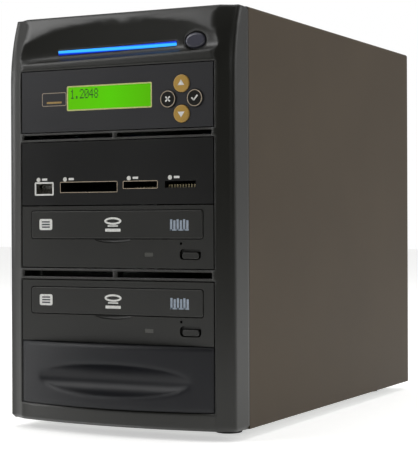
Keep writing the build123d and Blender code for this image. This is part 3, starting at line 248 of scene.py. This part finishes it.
def ring(name, x, z, half_width, half_height, line, front, thick, corners=40):
    """A flat ring, or with no line width a disc, facing the front, in millimetres."""
    deselect_all()
    bpy.ops.mesh.primitive_circle_add(vertices=corners, radius=1.0, fill_type="NGON",
                                      location=(x * MM, front, z * MM), rotation=FACING_FRONT)
    piece = bpy.context.object
    piece.name = name
    piece.scale = (half_width * MM, half_height * MM, 1)
    settle(piece)
    edit_all()
    if line:
        bpy.ops.mesh.inset(thickness=line * MM)
        bpy.ops.mesh.delete(type="FACE")
        bpy.ops.mesh.select_all(action="SELECT")
    thicken(piece, thick)
    return piece


def frame_line(name, x, z, width, height, corner, line, front, thick):
    """A rounded rectangular outline of a given line width, facing the front."""
    piece = tile(name, x, z, width, height, corner, front, thick)
    edit_all()
    bpy.ops.mesh.select_all(action="DESELECT")
    bpy.ops.object.mode_set(mode="OBJECT")
    for face in piece.data.polygons:
        face.select = abs(face.normal.y) > 0.9
    bpy.ops.object.mode_set(mode="EDIT")
    bpy.ops.mesh.inset(thickness=line * MM, use_boundary=True)
    bpy.ops.mesh.bridge_edge_loops()
    bpy.ops.mesh.select_all(action="SELECT")
    bpy.ops.mesh.normals_make_consistent(inside=False)
    settle(piece)
    return piece


def joined(name, pieces):
    """One object made of several."""
    pick(*pieces)
    bpy.ops.object.join()
    piece = bpy.context.object
    piece.name = name
    return piece


# ---------------------------------------------------------------- materials
def add_node(tree, kind, settings=None, links=None):
    """Add a node, set its sockets or fields by name or number, and link sources to its sockets."""
    node = tree.nodes.new(kind)
    for key, value in (settings or {}).items():
        if isinstance(key, int) or key in node.inputs:
            node.inputs[key].default_value = value
        else:
            setattr(node, key, value)
    for key, source in (links or {}).items():
        tree.links.new(source, node.inputs[key])
    return node


def new_surface(name, **settings):
    """A material with its Principled shader and object coordinates."""
    material = bpy.data.materials.new(name)
    material.use_nodes = True
    tree = material.node_tree
    shader = tree.nodes["Principled BSDF"]
    for key, value in settings.items():
        shader.inputs[key.replace("_", " ")].default_value = value
    place = add_node(tree, "ShaderNodeTexCoord")
    return material, tree, shader, place.outputs["Object"]


def object_noise(tree, place, size_mm, detail):
    """Soft noise whose patches are about the given size in millimetres; its value from 0 to 1."""
    noise = add_node(tree, "ShaderNodeTexNoise", {"Scale": 1 / (size_mm * MM), "Detail": detail},
                     {"Vector": place})
    return noise.outputs["Fac"]


def map_range(tree, source, old, new):
    """Map a value from its old range on to a new one."""
    span = add_node(tree, "ShaderNodeMapRange",
                    {"From Min": old[0], "From Max": old[1], "To Min": new[0], "To Max": new[1]},
                    {"Value": source})
    return span.outputs["Result"]


def maths(tree, operation, first, second):
    """The result of an operation on two values, each a number or a source."""
    numbers, sources = {"operation": operation}, {}
    for key, value in enumerate((first, second)):
        (numbers if isinstance(value, (int, float)) else sources)[key] = value
    return add_node(tree, "ShaderNodeMath", numbers, sources).outputs["Value"]


def colour_ramp(tree, source, *stops):
    """Blend sRGB colours over the source value; each stop is a place from 0 to 1 and a colour."""
    ramp = add_node(tree, "ShaderNodeValToRGB", links={"Fac": source})
    elements = ramp.color_ramp.elements
    for position, _ in stops[1:-1]:
        elements.new(position)
    for element, (position, colour) in zip(elements, stops):
        element.position = position
        element.color = linear(colour)
    return ramp.outputs["Color"]


def bumps(tree, shader, height, strength, depth_mm):
    """Feed the shader's normal with bumps of the given depth."""
    bump = add_node(tree, "ShaderNodeBump", {"Strength": strength, "Distance": depth_mm * MM},
                    {"Height": height})
    tree.links.new(bump.outputs["Normal"], shader.inputs["Normal"])
    return bump


def vary_colour(tree, shader, source, dark, light, low=0.3, high=0.7):
    """Blend two sRGB colours over the source value and feed the base colour."""
    blend = colour_ramp(tree, source, (low, dark), (high, light))
    tree.links.new(blend, shader.inputs["Base Color"])


def vary_roughness(tree, shader, source, low, high):
    """Map a 0 to 1 source on to a range of roughness."""
    tree.links.new(map_range(tree, source, (0.0, 1.0), (low, high)), shader.inputs["Roughness"])


def grain(tree, shader, place, size_mm, depth_mm, soft_mm=0.0):
    """Fine bumps of a given size and depth, over edges softened by a radius, in millimetres."""
    bump = bumps(tree, shader, object_noise(tree, place, size_mm, 2.0), 1.0, depth_mm)
    if soft_mm:
        soft = add_node(tree, "ShaderNodeBevel", {"samples": 8, "Radius": soft_mm * MM})
        tree.links.new(soft.outputs["Normal"], bump.inputs["Normal"])


def plastic(name, dark, light, roughness, grain_mm=0.9, depth_mm=0.02, soft_mm=0.0, **settings):
    """Moulded plastic: even colour with faint clouding, a fine grain and slightly uneven gloss."""
    material, tree, shader, place = new_surface(name, **settings)
    cloud = object_noise(tree, place, 60.0, 3.0)
    vary_colour(tree, shader, cloud, dark, light)
    vary_roughness(tree, shader, cloud, roughness - 0.03, roughness + 0.03)
    grain(tree, shader, place, grain_mm, depth_mm, soft_mm)
    return material


def sheet_metal(name, dark, light, roughness, stretch=EVEN, depth_mm=0.01):
    """Rolled sheet: a fine grain drawn out along one way, which spreads the highlights."""
    material, tree, shader, place = new_surface(name, Metallic=1.0)
    turned = add_node(tree, "ShaderNodeMapping", {"Scale": stretch}, {"Vector": place})
    streaks = object_noise(tree, turned.outputs["Vector"], 2.0, 4.0)
    vary_colour(tree, shader, streaks, dark, light)
    vary_roughness(tree, shader, streaks, roughness - 0.06, roughness + 0.08)
    bumps(tree, shader, streaks, 0.6, depth_mm)
    return material


def print_ink(name, dark, light):
    """Screen-printed ink: flat and matt, a little uneven where it thins."""
    material, tree, shader, place = new_surface(name)
    patches = object_noise(tree, place, 1.5, 2.0)
    vary_colour(tree, shader, patches, dark, light)
    vary_roughness(tree, shader, patches, 0.4, 0.5)
    return material


def painted_steel(name):
    """Powder-coated steel: an even, slightly pebbled coat, warm charcoal with a soft sheen."""
    material, tree, shader, place = new_surface(name, Specular_IOR_Level=0.2)
    cloud = object_noise(tree, place, 90.0, 2.0)
    vary_colour(tree, shader, cloud, "#463b2d", "#4c4133")
    vary_roughness(tree, shader, cloud, 0.52, 0.58)
    # the coat's pebbles are about 0.3 mm across: drawn at 1 mm so that they show at all
    grain(tree, shader, place, 1.0, 0.012)
    return material


def blue_bar(name):
    """Light pipe of clear acrylic over blue lamps: bright in the middle, deep blue at its edges."""
    material, tree, shader, place = new_surface(name, Roughness=0.2)
    shader.inputs["Base Color"].default_value = linear("#1048c0")
    shader.inputs["Emission Strength"].default_value = 2.2
    split = add_node(tree, "ShaderNodeSeparateXYZ", links={"Vector": place})
    height = maths(tree, "SUBTRACT", split.outputs["Z"], LED_Z * MM)
    away = add_node(tree, "ShaderNodeMath", {"operation": "ABSOLUTE"}, {0: height})
    span = map_range(tree, away.outputs["Value"], (0.0, LED_REACH * MM), (0.0, 1.0))
    glow = colour_ramp(tree, span, (0.4, "#2a86c8"), (0.85, "#000c78"))
    tree.links.new(glow, shader.inputs["Emission Color"])
    return material


def display_glass(name):
    """Backlit display behind clear acrylic: an even yellow-green glow, weaker at its ends."""
    material, tree, shader, place = new_surface(name, Roughness=0.35, Specular_IOR_Level=0.15)
    shader.inputs["Base Color"].default_value = linear("#1c3a00")
    shader.inputs["Emission Strength"].default_value = 1.0
    split = add_node(tree, "ShaderNodeSeparateXYZ", links={"Vector": place})
    ends = ((DISPLAY_AT[0] - DISPLAY_HALF) * MM, (DISPLAY_AT[0] + DISPLAY_HALF) * MM)
    across = map_range(tree, split.outputs["X"], ends, (0.0, 1.0))
    glow = colour_ramp(tree, across, (0.0, "#58b800"), (0.5, "#52c400"), (1.0, "#4fae00"))
    tree.links.new(glow, shader.inputs["Emission Color"])
    return material


def circuit_board(name):
    """Glass-epoxy board under green solder mask, with the copper tracks just showing through."""
    material, tree, shader, place = new_surface(name, Roughness=0.35)
    tracks = add_node(tree, "ShaderNodeTexBrick",
                      {"Scale": 1.0, "Brick Width": 12.0 * MM, "Row Height": 2.5 * MM,
                       "Mortar Size": 0.4 * MM, "Color1": linear("#14502c"),
                       "Color2": linear("#185a32"), "Mortar": linear("#2b7a45")},
                      {"Vector": place})
    tree.links.new(tracks.outputs["Color"], shader.inputs["Base Color"])
    bumps(tree, shader, tracks.outputs["Fac"], 0.4, 0.03)
    return material


def seen_rays(tree):
    """1 for camera, glossy and transmission rays, 0 for the rays that light a surface."""
    rays = add_node(tree, "ShaderNodeLightPath")
    seen = rays.outputs["Is Camera Ray"]
    for other in ("Is Glossy Ray", "Is Transmission Ray"):
        seen = maths(tree, "MAXIMUM", seen, rays.outputs[other])
    return seen


def white_floor(name, edge):
    """Matt floor that reads as white and takes a shadow; what it lights sees it dark in front."""
    material, tree, shader, place = new_surface(name, Roughness=0.9)
    split = add_node(tree, "ShaderNodeSeparateXYZ", links={"Vector": place})
    near = map_range(tree, split.outputs["Y"], (edge - FLOOR_FADE, edge), (0.0, 1.0))
    # the camera itself sees white all round
    camera = add_node(tree, "ShaderNodeLightPath").outputs["Is Camera Ray"]
    lit = maths(tree, "MAXIMUM", near, camera)
    vary_colour(tree, shader, lit, DARK_ROOM, WHITE, 0.0, 1.0)
    glow = maths(tree, "MULTIPLY", seen_rays(tree), FLOOR_GLOW)
    shader.inputs["Emission Color"].default_value = (1, 1, 1, 1)
    tree.links.new(maths(tree, "MULTIPLY", glow, lit), shader.inputs["Emission Strength"])
    return material


MATERIALS = {}


def make_materials():
    """Make every finish once, named for what the real one is."""
    table = MATERIALS
    # front frame: black ABS from a spark-eroded mould, satin, warm by a shade
    table["bezel"] = plastic("satin_black_abs", "#1b1b17", "#1e1e1a", 0.33, soft_mm=3.0)
    # control plate: printed polycarbonate overlay, cooler and flatter than the frame
    table["panel"] = plastic("polycarbonate_overlay", "#212124", "#242427", 0.42, grain_mm=0.7,
                             depth_mm=0.008)
    # card reader: black polystyrene, the darkest of the fronts
    table["reader"] = plastic("black_polystyrene", "#0b0b0a", "#0e0e0d", 0.34, depth_mm=0.008)
    # drive fronts: black ABS, finely grained
    table["drive"] = plastic("drive_front_abs", "#1a1a17", "#1d1d1a", 0.4, depth_mm=0.015)
    # blank cover: black ABS with a bluish cast, smooth and satin
    table["blank"] = plastic("blank_cover_abs", "#0e0f14", "#111217", 0.4, depth_mm=0.006,
                             soft_mm=5.0, Specular_IOR_Level=0.34)
    # outer cover: powder-coated steel
    table["paint"] = painted_steel("charcoal_powder_coat")
    # inner steel: zinc-plated sheet
    table["zinc"] = sheet_metal("zinc_plated_sheet", "#8f918e", "#a9aba8", 0.36, (1.0, 12.0, 1.0))
    # wire and screws: nickel-plated steel, bright
    table["nickel"] = sheet_metal("nickel_plated_wire", "#b4b2ac", "#cfcdc7", 0.2, depth_mm=0.004)
    # guide rods and spindle: ground steel
    table["ground"] = sheet_metal("ground_steel", "#a8a8a6", "#c2c2c0", 0.16, (1.0, 8.0, 1.0),
                                  depth_mm=0.003)
    # laser sled: die-cast aluminium
    table["cast"] = sheet_metal("die_cast_aluminium", "#7c7e80", "#8f9193", 0.45, depth_mm=0.03)
    # boards: glass-epoxy laminate under solder mask
    table["green_board"] = circuit_board("solder_mask_board")
    # mechanism, trays and fans: glass-filled black plastic, dull
    table["inner"] = plastic("glass_filled_black_plastic", "#121212", "#181818", 0.5, grain_mm=0.6,
                             depth_mm=0.03)
    # loader gear: natural acetal, waxy
    table["acetal"] = plastic("natural_acetal", "#d9d4c4", "#e2ded0", 0.35, depth_mm=0.004)
    # key caps: gold-filled epoxy print on a gloss cap
    table["gold"] = plastic("gold_key_cap", "#b08a3c", "#c19a4c", 0.34, grain_mm=0.5,
                            depth_mm=0.004)
    # dark key caps: gloss black
    table["dark_key"] = plastic("gloss_black_key_cap", "#191816", "#1e1d1a", 0.28, depth_mm=0.004)
    # power button: smoked gloss plastic; its light grey-violet base colour is partly a painted
    # reflection
    table["button"] = plastic("smoked_button_with_painted_reflection", "#4a4a54", "#545460", 0.2, depth_mm=0.003)
    # button ring, which is painted shade for the gap round the button, and inlet: gloss black
    table["gloss"] = plastic("gloss_black_plastic_and_gap_shade", "#050505", "#090909", 0.25, depth_mm=0.003)
    # lamps: epoxy lenses whose near-white base colour is a painted reflection
    table["lamp"] = plastic("lamp_lens_painted_reflection", "#dcdcd6", "#ecece6", 0.2, depth_mm=0.002)
    # busy light: grey prism lens
    table["lens"] = plastic("smoked_prism_lens", "#4d4d4a", "#585854", 0.3, depth_mm=0.004)
    # rubber feet and cable sleeves
    table["rubber"] = plastic("black_rubber", "#0d0d0d", "#131313", 0.7, grain_mm=0.8,
                              depth_mm=0.05)
    table["sleeve"] = plastic("pvc_cable_sleeve", "#101010", "#161616", 0.42, depth_mm=0.01)
    # prints, of which the tan one also serves as painted glints on the card slots' edges
    table["white_ink"] = print_ink("white_screen_print", "#dcdcd8", "#f0f0ec")
    table["pale_ink"] = print_ink("pale_blue_screen_print", "#8e9bab", "#a5b0be")
    table["gold_ink"] = print_ink("gold_screen_print", "#a3854a", "#b8975a")
    table["dark_ink"] = print_ink("dark_screen_print", "#2e3038", "#3a3c44")
    # the tan ink is also drawn as painted glints along the card slots' edges
    table["tan_print_and_glint"] = print_ink("tan_print_and_painted_glint", "#a3947f", "#b8a994")
    table["lime_ink"] = print_ink("pale_yellow_display_edge", "#c6c67c", "#d9d98e")
    table["crystal"] = print_ink("dark_display_segment", "#123000", "#1c3c04")
    # contact springs: gold-plated bronze
    table["contact"] = sheet_metal("gold_plated_contact", "#dccb9c", "#efe2bd", 0.25,
                                   depth_mm=0.002)
    table["led"] = blue_bar("acrylic_light_pipe")
    table["display"] = display_glass("backlit_display")


# ---------------------------------------------------------------- settings a user may change
class StageSettings(bpy.types.PropertyGroup):
    """Studio floor and lamps."""

    floor_size: bpy.props.FloatProperty(
        name="Floor size", description="Side of the square floor", default=12.0, min=2.0,
        unit="LENGTH")
    floor_edge: bpy.props.FloatProperty(
        name="Floor edge", description="Where the white floor starts to darken in front",
        default=-0.62, unit="LENGTH")
    lamp_level: bpy.props.FloatProperty(
        name="Lamp level", description="Brightness of all lamps together", default=1.0, min=0.0,
        subtype="FACTOR")
    fill_level: bpy.props.FloatProperty(
        name="Fill level", description="Brightness of the light from all round", default=0.55,
        min=0.0, subtype="FACTOR")
    front_level: bpy.props.FloatProperty(
        name="Front level", description="Share of that light that comes from in front of the tower",
        default=0.12, min=0.0, subtype="FACTOR")


class FrontSettings(bpy.types.PropertyGroup):
    """Moulded front and its fittings."""

    edge: bpy.props.FloatProperty(
        name="Edge rounding", description="Radius of the moulded edges", default=0.0005, min=0.0,
        unit="LENGTH")
    print_thickness: bpy.props.FloatProperty(
        name="Print thickness", description="How far the printed marks stand out",
        default=0.00005, min=0.0, unit="LENGTH")


# ---------------------------------------------------------------- pieces
class TOWER_OT_stage(bpy.types.Operator):
    """Put up the floor, the lamps, the surroundings and the camera"""

    bl_idname = "tower.stage"
    bl_label = "Studio"

    def execute(self, context):
        look = context.scene.tower_stage
        deselect_all()
        bpy.ops.mesh.primitive_plane_add(size=look.floor_size)
        floor = bpy.context.object
        floor.name = "floor"
        coat(floor, white_floor("matt_white_floor", look.floor_edge))

        world = bpy.data.worlds.new("white_studio")
        context.scene.world = world
        world.use_nodes = True
        tree = world.node_tree
        backdrop = tree.nodes["Background"]
        # the room is dark in front of the tower, and evenly light beside and behind it
        way = add_node(tree, "ShaderNodeSeparateXYZ",
                       links={"Vector": add_node(tree, "ShaderNodeTexCoord").outputs["Generated"]})
        levels = (look.front_level * look.fill_level, look.fill_level)
        room = map_range(tree, way.outputs["Y"], ROOM_FADE, levels)
        # the camera itself sees white all round
        camera_ray = add_node(tree, "ShaderNodeLightPath").outputs["Is Camera Ray"]
        tree.links.new(maths(tree, "MAXIMUM", camera_ray, room), backdrop.inputs["Strength"])
        backdrop.inputs["Color"].default_value = (1, 1, 1, 1)

        for name, place, aim, size, watts in LAMPS:
            bpy.ops.object.light_add(type="AREA", location=place)
            lamp = bpy.context.object
            lamp.name = name
            lamp.data.size = size
            lamp.data.energy = watts * look.lamp_level
            ray = Vector(aim) - Vector(place)
            lamp.rotation_euler = ray.to_track_quat("-Z", "Y").to_euler()

        bpy.ops.object.camera_add()
        camera = bpy.context.object
        camera.name = "photo_camera"
        yaw, dip, roll = radians(CAMERA_YAW), radians(CAMERA_DIP), radians(CAMERA_ROLL)
        ahead = Vector((-sin(yaw) * cos(dip), cos(yaw) * cos(dip), -sin(dip)))
        level = Vector((cos(yaw), sin(yaw), 0))
        upward = level.cross(ahead)
        right = cos(roll) * level + sin(roll) * upward
        top = -sin(roll) * level + cos(roll) * upward
        turn = Matrix((right, top, -ahead)).transposed().to_4x4()
        camera.matrix_world = Matrix.Translation(CAMERA_PLACE) @ turn
        camera.data.lens = CAMERA_LENS
        camera.data.sensor_width = CAMERA_SENSOR
        camera.data.clip_start = 0.01
        context.scene.camera = camera
        context.scene.view_settings.view_transform = "Standard"
        return {"FINISHED"}


class TOWER_OT_front(bpy.types.Operator):
    """Finish the moulded front, its light pipe and its power button"""

    bl_idname = "tower.front"
    bl_label = "Moulded front"

    def execute(self, context):
        edge = context.scene.tower_front.edge / MM
        dress("front_bezel", MATERIALS["bezel"], edge, segments=3, angle=BEZEL_ANGLE)
        dress("light_pipe", MATERIALS["led"], 0.3)
        dress("power_button", MATERIALS["button"], 0.3, segments=3)
        # the coil gets a mesh of its own
        coil = dress("power_button_spring", MATERIALS["nickel"], 0.0)
        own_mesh(coil)
        finish_node("power_switch", MATERIALS["inner"])
        # painted shade: a near-black gloss ring in the oval opening, a hair inside its wall, stands
        # for the dark gap round the button
        rim = ring("power_button_gap_shade", *BUTTON_AT, 8.65, 6.4, 1.0, FACE_Y + 6.0 * MM, 3.0)
        ease(rim, 0.25)
        smooth(rim)
        mount(rim, MATERIALS["gloss"], "front_bezel")
        return {"FINISHED"}


class TOWER_OT_steelwork(bpy.types.Operator):
    """Finish the painted cover, the chassis, the rails and the feet"""

    bl_idname = "tower.steelwork"
    bl_label = "Steelwork"

    def execute(self, context):
        dress("wrap_cover", MATERIALS["paint"], 0.4, segments=3)
        dress("chassis", MATERIALS["zinc"], 0.15)
        for node in ("bay_rail_left", "bay_rail_right", "bay_trays"):
            finish_node(node, MATERIALS["zinc"])
        dress("feet", MATERIALS["rubber"], 0.5)
        dress("screws", MATERIALS["nickel"], 0.2)
        return {"FINISHED"}


class TOWER_OT_control_panel(bpy.types.Operator):
    """Finish the control plate, its display and its keys"""

    bl_idname = "tower.control_panel"
    bl_label = "Control panel"

    digits = {
        "0": ("01110", "10001", "10011", "10101", "11001", "10001", "01110"),
        "1": ("00100", "01100", "00100", "00100", "00100", "00100", "01110"),
        "2": ("01110", "10001", "00001", "00010", "00100", "01000", "11111"),
        "4": ("00010", "00110", "01010", "10010", "11111", "00010", "00010"),
        "8": ("01110", "10001", "10001", "01110", "10001", "10001", "01110"),
        ".": ("00000", "00000", "00000", "00000", "00000", "01100", "01100"),
    }

    def execute(self, context):
        ink = context.scene.tower_front.print_thickness / MM
        dress("control_panel", MATERIALS["panel"], 0.25)
        dress("lcd_window", MATERIALS["display"], 0.0)
        finish_node("lcd_module", MATERIALS["green_board"])
        finish_node("key_board", MATERIALS["green_board"])
        edge = frame_line("display_edge", *DISPLAY_AT, 66.2, 16.9, 1.0, 0.9, FACE_Y - 0.1 * MM, 0.5)
        mount(edge, MATERIALS["lime_ink"], "control_panel")
        # one row of characters, in the dots of five by seven cells
        dots = []
        for place, character in enumerate("1.2048"):
            for row, line in enumerate(self.digits[character]):
                for column, lit in enumerate(line):
                    if lit == "1":
                        x = DOTS_FROM[0] + place * CELL_STEP + column * DOT_STEP_X
                        z = DOTS_FROM[1] - row * DOT_STEP_Z
                        dots.append((x, z))
        first = tile("display_dots", *dots[0], 0.6, 0.86, 0.0, FACE_Y + 0.27 * MM, 0.2)
        copies = [first]
        for x, z in dots[1:]:
            pick(first)
            bpy.ops.object.duplicate()
            bpy.ops.transform.translate(value=((x - dots[0][0]) * MM, 0, (z - dots[0][1]) * MM))
            copies.append(bpy.context.object)
        written = joined("display_dots", copies)
        settle(written)
        mount(written, MATERIALS["crystal"], "lcd_window")

        cap = FACE_Y - KEY_CAP_RISE * MM - ink * MM
        for node in ("key_up", "key_down"):
            dress(node, MATERIALS["gold"], 0.0)
        for node in ("key_cancel", "key_confirm"):
            dress(node, MATERIALS["dark_key"], 0.0)
            rim = ring(node + "_rim", *middle_of(node), 5.5, 5.5, 0.55, cap, 0.2)
            mount(rim, MATERIALS["tan_print_and_glint"], node)
        for node, way in (("key_up", 1), ("key_down", -1)):
            x, z = middle_of(node)
            arrow = ring(node + "_arrow", x, z, 2.9, 2.9, 0, cap, 0.2, corners=3)
            pick(arrow)
            edit_all()
            bpy.ops.transform.resize(value=(1, 1, 0.85 * way),
                                     center_override=(x * MM, 0, z * MM))
            bpy.ops.mesh.normals_make_consistent(inside=False)
            settle(arrow)
            mount(arrow, MATERIALS["white_ink"], node)
        cross = ((0, 0, 4.6, 45), (0, 0, 4.6, -45))
        self.stroke_mark("key_cancel", "key_cancel_cross", cross, cap)
        tick = ((-1.35, -0.55, 2.4, -45), (0.75, 0.1, 4.4, 48))
        self.stroke_mark("key_confirm", "key_confirm_tick", tick, cap)

        front = FACE_Y - ink * MM
        plate = frame_line("blank_name_plate", NAME_PLATE_X, 226.6, 19.6, 9.2, 1.2, 0.45, front,
                           0.2)
        mount(plate, MATERIALS["tan_print_and_glint"], "control_panel")
        bar = tile("name_plate_bar", NAME_PLATE_X, 224.4, 12.0, 1.3, 0.4, front, 0.2)
        mount(bar, MATERIALS["gold_ink"], "control_panel")
        return {"FINISHED"}

    def stroke_mark(self, node, name, strokes, cap):
        """A mark of straight strokes (x, z, length, slant) on a key's cap."""
        x, z = middle_of(node)
        bars = []
        for dx, dz, length, slant in strokes:
            bar = tile(name, x + dx, z + dz, length, 1.05, 0.2, cap, 0.2)
            edit_all()
            bpy.ops.transform.rotate(value=radians(slant), orient_axis="Y",
                                     center_override=((x + dx) * MM, 0, (z + dz) * MM))
            settle(bar)
            bars.append(bar)
        mark = joined(name, bars)
        mount(mark, MATERIALS["white_ink"], node)


class TOWER_OT_card_reader(bpy.types.Operator):
    """Finish the card reader, its sockets, lamps and marks"""

    bl_idname = "tower.card_reader"
    bl_label = "Card reader"

    def execute(self, context):
        ink = context.scene.tower_front.print_thickness / MM
        front = FACE_Y - ink * MM
        dress("reader_bezel", MATERIALS["reader"], 0.25)
        dress("usb_socket", MATERIALS["nickel"], 0.1)
        for node in ("cf_socket", "sd_socket", "stick_socket"):
            dress(node, MATERIALS["inner"], 0.1)
        # the lamp lenses' near-white colour is a painted reflection
        dress("reader_lights", MATERIALS["lamp"], 0.3)
        finish_node("reader_board", MATERIALS["green_board"])
        # edges of the sockets where they meet the plate: the USB socket's white plastic, and on the
        # card slots tan lines that are painted glints on their metal edges
        for name, x, z, width, height, line, material_key in (
            ("usb_edge", -56.0, 165.6, 15.4, 9.2, 1.1, "white_ink"),
            ("large_card_edge_glint", -20.4, 166.4, 45.4, 7.6, 0.45, "tan_print_and_glint"),
            ("small_card_edge_glint", 19.7, 167.4, 26.6, 5.4, 0.45, "tan_print_and_glint"),
        ):
            edge = frame_line(name, x, z, width, height, 0.8, line, front, 0.4)
            mount(edge, MATERIALS[material_key], "reader_bezel")
        marks = [tile("lamp_mark", x + 5.0, 172.0, 4.2, 1.5, 0.3, front, 0.2)
                 for x in (-60.6, -39.1, 11.1, 42.2)]
        mount(joined("slot_marks", marks), MATERIALS["white_ink"], "reader_bezel")
        # contact springs in the stick slot and, deeper, in the small card slot
        springs = []
        for first, count, pitch, low, tall, deep in (
            (40.0, 10, 2.1, 165.2, 2.2, 3.0),
            (10.0, 9, 2.3, 165.3, 0.9, 10.0),
        ):
            for k in range(count):
                springs.append(tile("contact", first + k * pitch, low + tall / 2, 1.0, tall, 0.2,
                                    FACE_Y + deep * MM, 1.2))
        mount(joined("contact_springs", springs), MATERIALS["contact"], "stick_socket")
        return {"FINISHED"}


class TOWER_OT_disc_drives(bpy.types.Operator):
    """Finish the two disc drives: fronts, tray doors, printed marks and works"""

    bl_idname = "tower.disc_drives"
    bl_label = "Disc drives"

    def execute(self, context):
        ink = context.scene.tower_front.print_thickness / MM
        for n in (1, 2):
            part = f"drive_{n}_"
            dress(part + "bezel", MATERIALS["drive"], 0.25)
            dress(part + "tray_door", MATERIALS["drive"], 0.2)
            dress(part + "eject_button", MATERIALS["drive"], 0.15)
            dress(part + "busy_light", MATERIALS["lens"], 0.15)
            dress(part + "tray", MATERIALS["inner"], 0.0)
            finish_node(part + "case", MATERIALS["zinc"])
            finish_node(part + "mechanism", MATERIALS["inner"])
            finish_node(part + "laser_sled", MATERIALS["cast"])
            dress(part + "spindle", MATERIALS["ground"], 0.0)
            dress(part + "loader_gear", MATERIALS["acetal"], 0.0)
            self.door_marks(n, part + "tray_door", ink)
        finish_node("guide_rods", MATERIALS["ground"])
        return {"FINISHED"}

    def door_marks(self, n, node, ink):
        """Plain disc and tile marks in place of the format signs."""
        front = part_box(node)[0][1] - ink * MM
        z = middle_of(node)[1]
        white = [
            tile("mark", TILE_X, z + 0.2, 10.4, 7.6, 1.3, front, 0.15),
            ring("mark", DISC_X, z + 2.4, 6.6, 2.5, 1.3, front, 0.15),
            tile("mark", DISC_X, z - 0.9, 8.0, 0.9, 0.3, front, 0.15),
            tile("mark", DISC_X, z - 3.7, 11.8, 2.0, 0.3, front, 0.15),
        ]
        mount(joined(f"drive_{n}_white_marks", white), MATERIALS["white_ink"], node)
        dark = [tile("mark", TILE_X, z + rise, 6.4, 0.9, 0.2, front - ink * MM, 0.1)
                for rise in (-1.6, 0.2, 2.0)]
        mount(joined(f"drive_{n}_dark_marks", dark), MATERIALS["dark_ink"], node)
        bars = [tile("mark", BARS_X + 2.4 * k, z - 0.3, 1.6, 7.4 - (k % 2) * 1.4, 0.3, front, 0.15)
                for k in range(6)]
        bars.append(tile("mark", BARS_X + 6.0, z - 3.6, 14.0, 0.9, 0.3, front, 0.15))
        mount(joined(f"drive_{n}_pale_marks", bars), MATERIALS["pale_ink"], node)


class TOWER_OT_blank_cover(bpy.types.Operator):
    """Finish the bowed cover of the empty bay"""

    bl_idname = "tower.blank_cover"
    bl_label = "Blank cover"

    def execute(self, context):
        dress("blank_bay_cover", MATERIALS["blank"], 0.4, segments=3)
        return {"FINISHED"}


class TOWER_OT_rear(bpy.types.Operator):
    """Finish the fans, their guards, the power supply and the mains inlet"""

    bl_idname = "tower.rear"
    bl_label = "Rear and power supply"

    def execute(self, context):
        for node in ("rear_fan_frame", "rear_fan_rotor", "psu_fan_rotor"):
            dress(node, MATERIALS["inner"], 0.2)
        dress("finger_guards", MATERIALS["nickel"], 0.0)
        dress("psu_case", MATERIALS["zinc"], 0.2)
        dress("mains_inlet", MATERIALS["gloss"], 0.25)
        dress("mains_rocker", MATERIALS["gloss"], 0.3)
        return {"FINISHED"}


class TOWER_OT_inside(bpy.types.Operator):
    """Finish the boards and cables inside the case"""

    bl_idname = "tower.inside"
    bl_label = "Boards and cables"

    def execute(self, context):
        for node in ("controller_board", "psu_board"):
            finish_node(node, MATERIALS["green_board"])
        for node in ("data_cables", "power_cables"):
            dress(node, MATERIALS["sleeve"], 0.0)
        return {"FINISHED"}


OPERATORS = (
    TOWER_OT_stage,
    TOWER_OT_front,
    TOWER_OT_steelwork,
    TOWER_OT_control_panel,
    TOWER_OT_card_reader,
    TOWER_OT_disc_drives,
    TOWER_OT_blank_cover,
    TOWER_OT_rear,
    TOWER_OT_inside,
)


class TOWER_PT_panel(bpy.types.Panel):
    """Lists the tower's pieces and settings"""

    bl_idname = "TOWER_PT_panel"
    bl_label = "Duplicator tower"
    bl_space_type = "VIEW_3D"
    bl_region_type = "UI"
    bl_category = "Duplicator"

    def draw(self, context):
        for settings in (context.scene.tower_stage, context.scene.tower_front):
            for name in settings.__annotations__:
                self.layout.prop(settings, name)
        for operator in OPERATORS:
            self.layout.operator(operator.bl_idname)


CLASSES = (StageSettings, FrontSettings, *OPERATORS, TOWER_PT_panel)


def register():
    for item in CLASSES:
        bpy.utils.register_class(item)
    bpy.types.Scene.tower_stage = bpy.props.PointerProperty(type=StageSettings)
    bpy.types.Scene.tower_front = bpy.props.PointerProperty(type=FrontSettings)


def unregister():
    del bpy.types.Scene.tower_front
    del bpy.types.Scene.tower_stage
    for item in reversed(CLASSES):
        bpy.utils.unregister_class(item)


def main():
    """Register the add-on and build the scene."""
    register()
    bpy.context.tool_settings.mesh_select_mode = (False, False, True)
    make_materials()
    bpy.ops.tower.stage()
    bpy.ops.tower.front()
    bpy.ops.tower.steelwork()
    bpy.ops.tower.control_panel()
    bpy.ops.tower.card_reader()
    bpy.ops.tower.disc_drives()
    bpy.ops.tower.blank_cover()
    bpy.ops.tower.rear()
    bpy.ops.tower.inside()


if __name__ == "__main__":
    main()
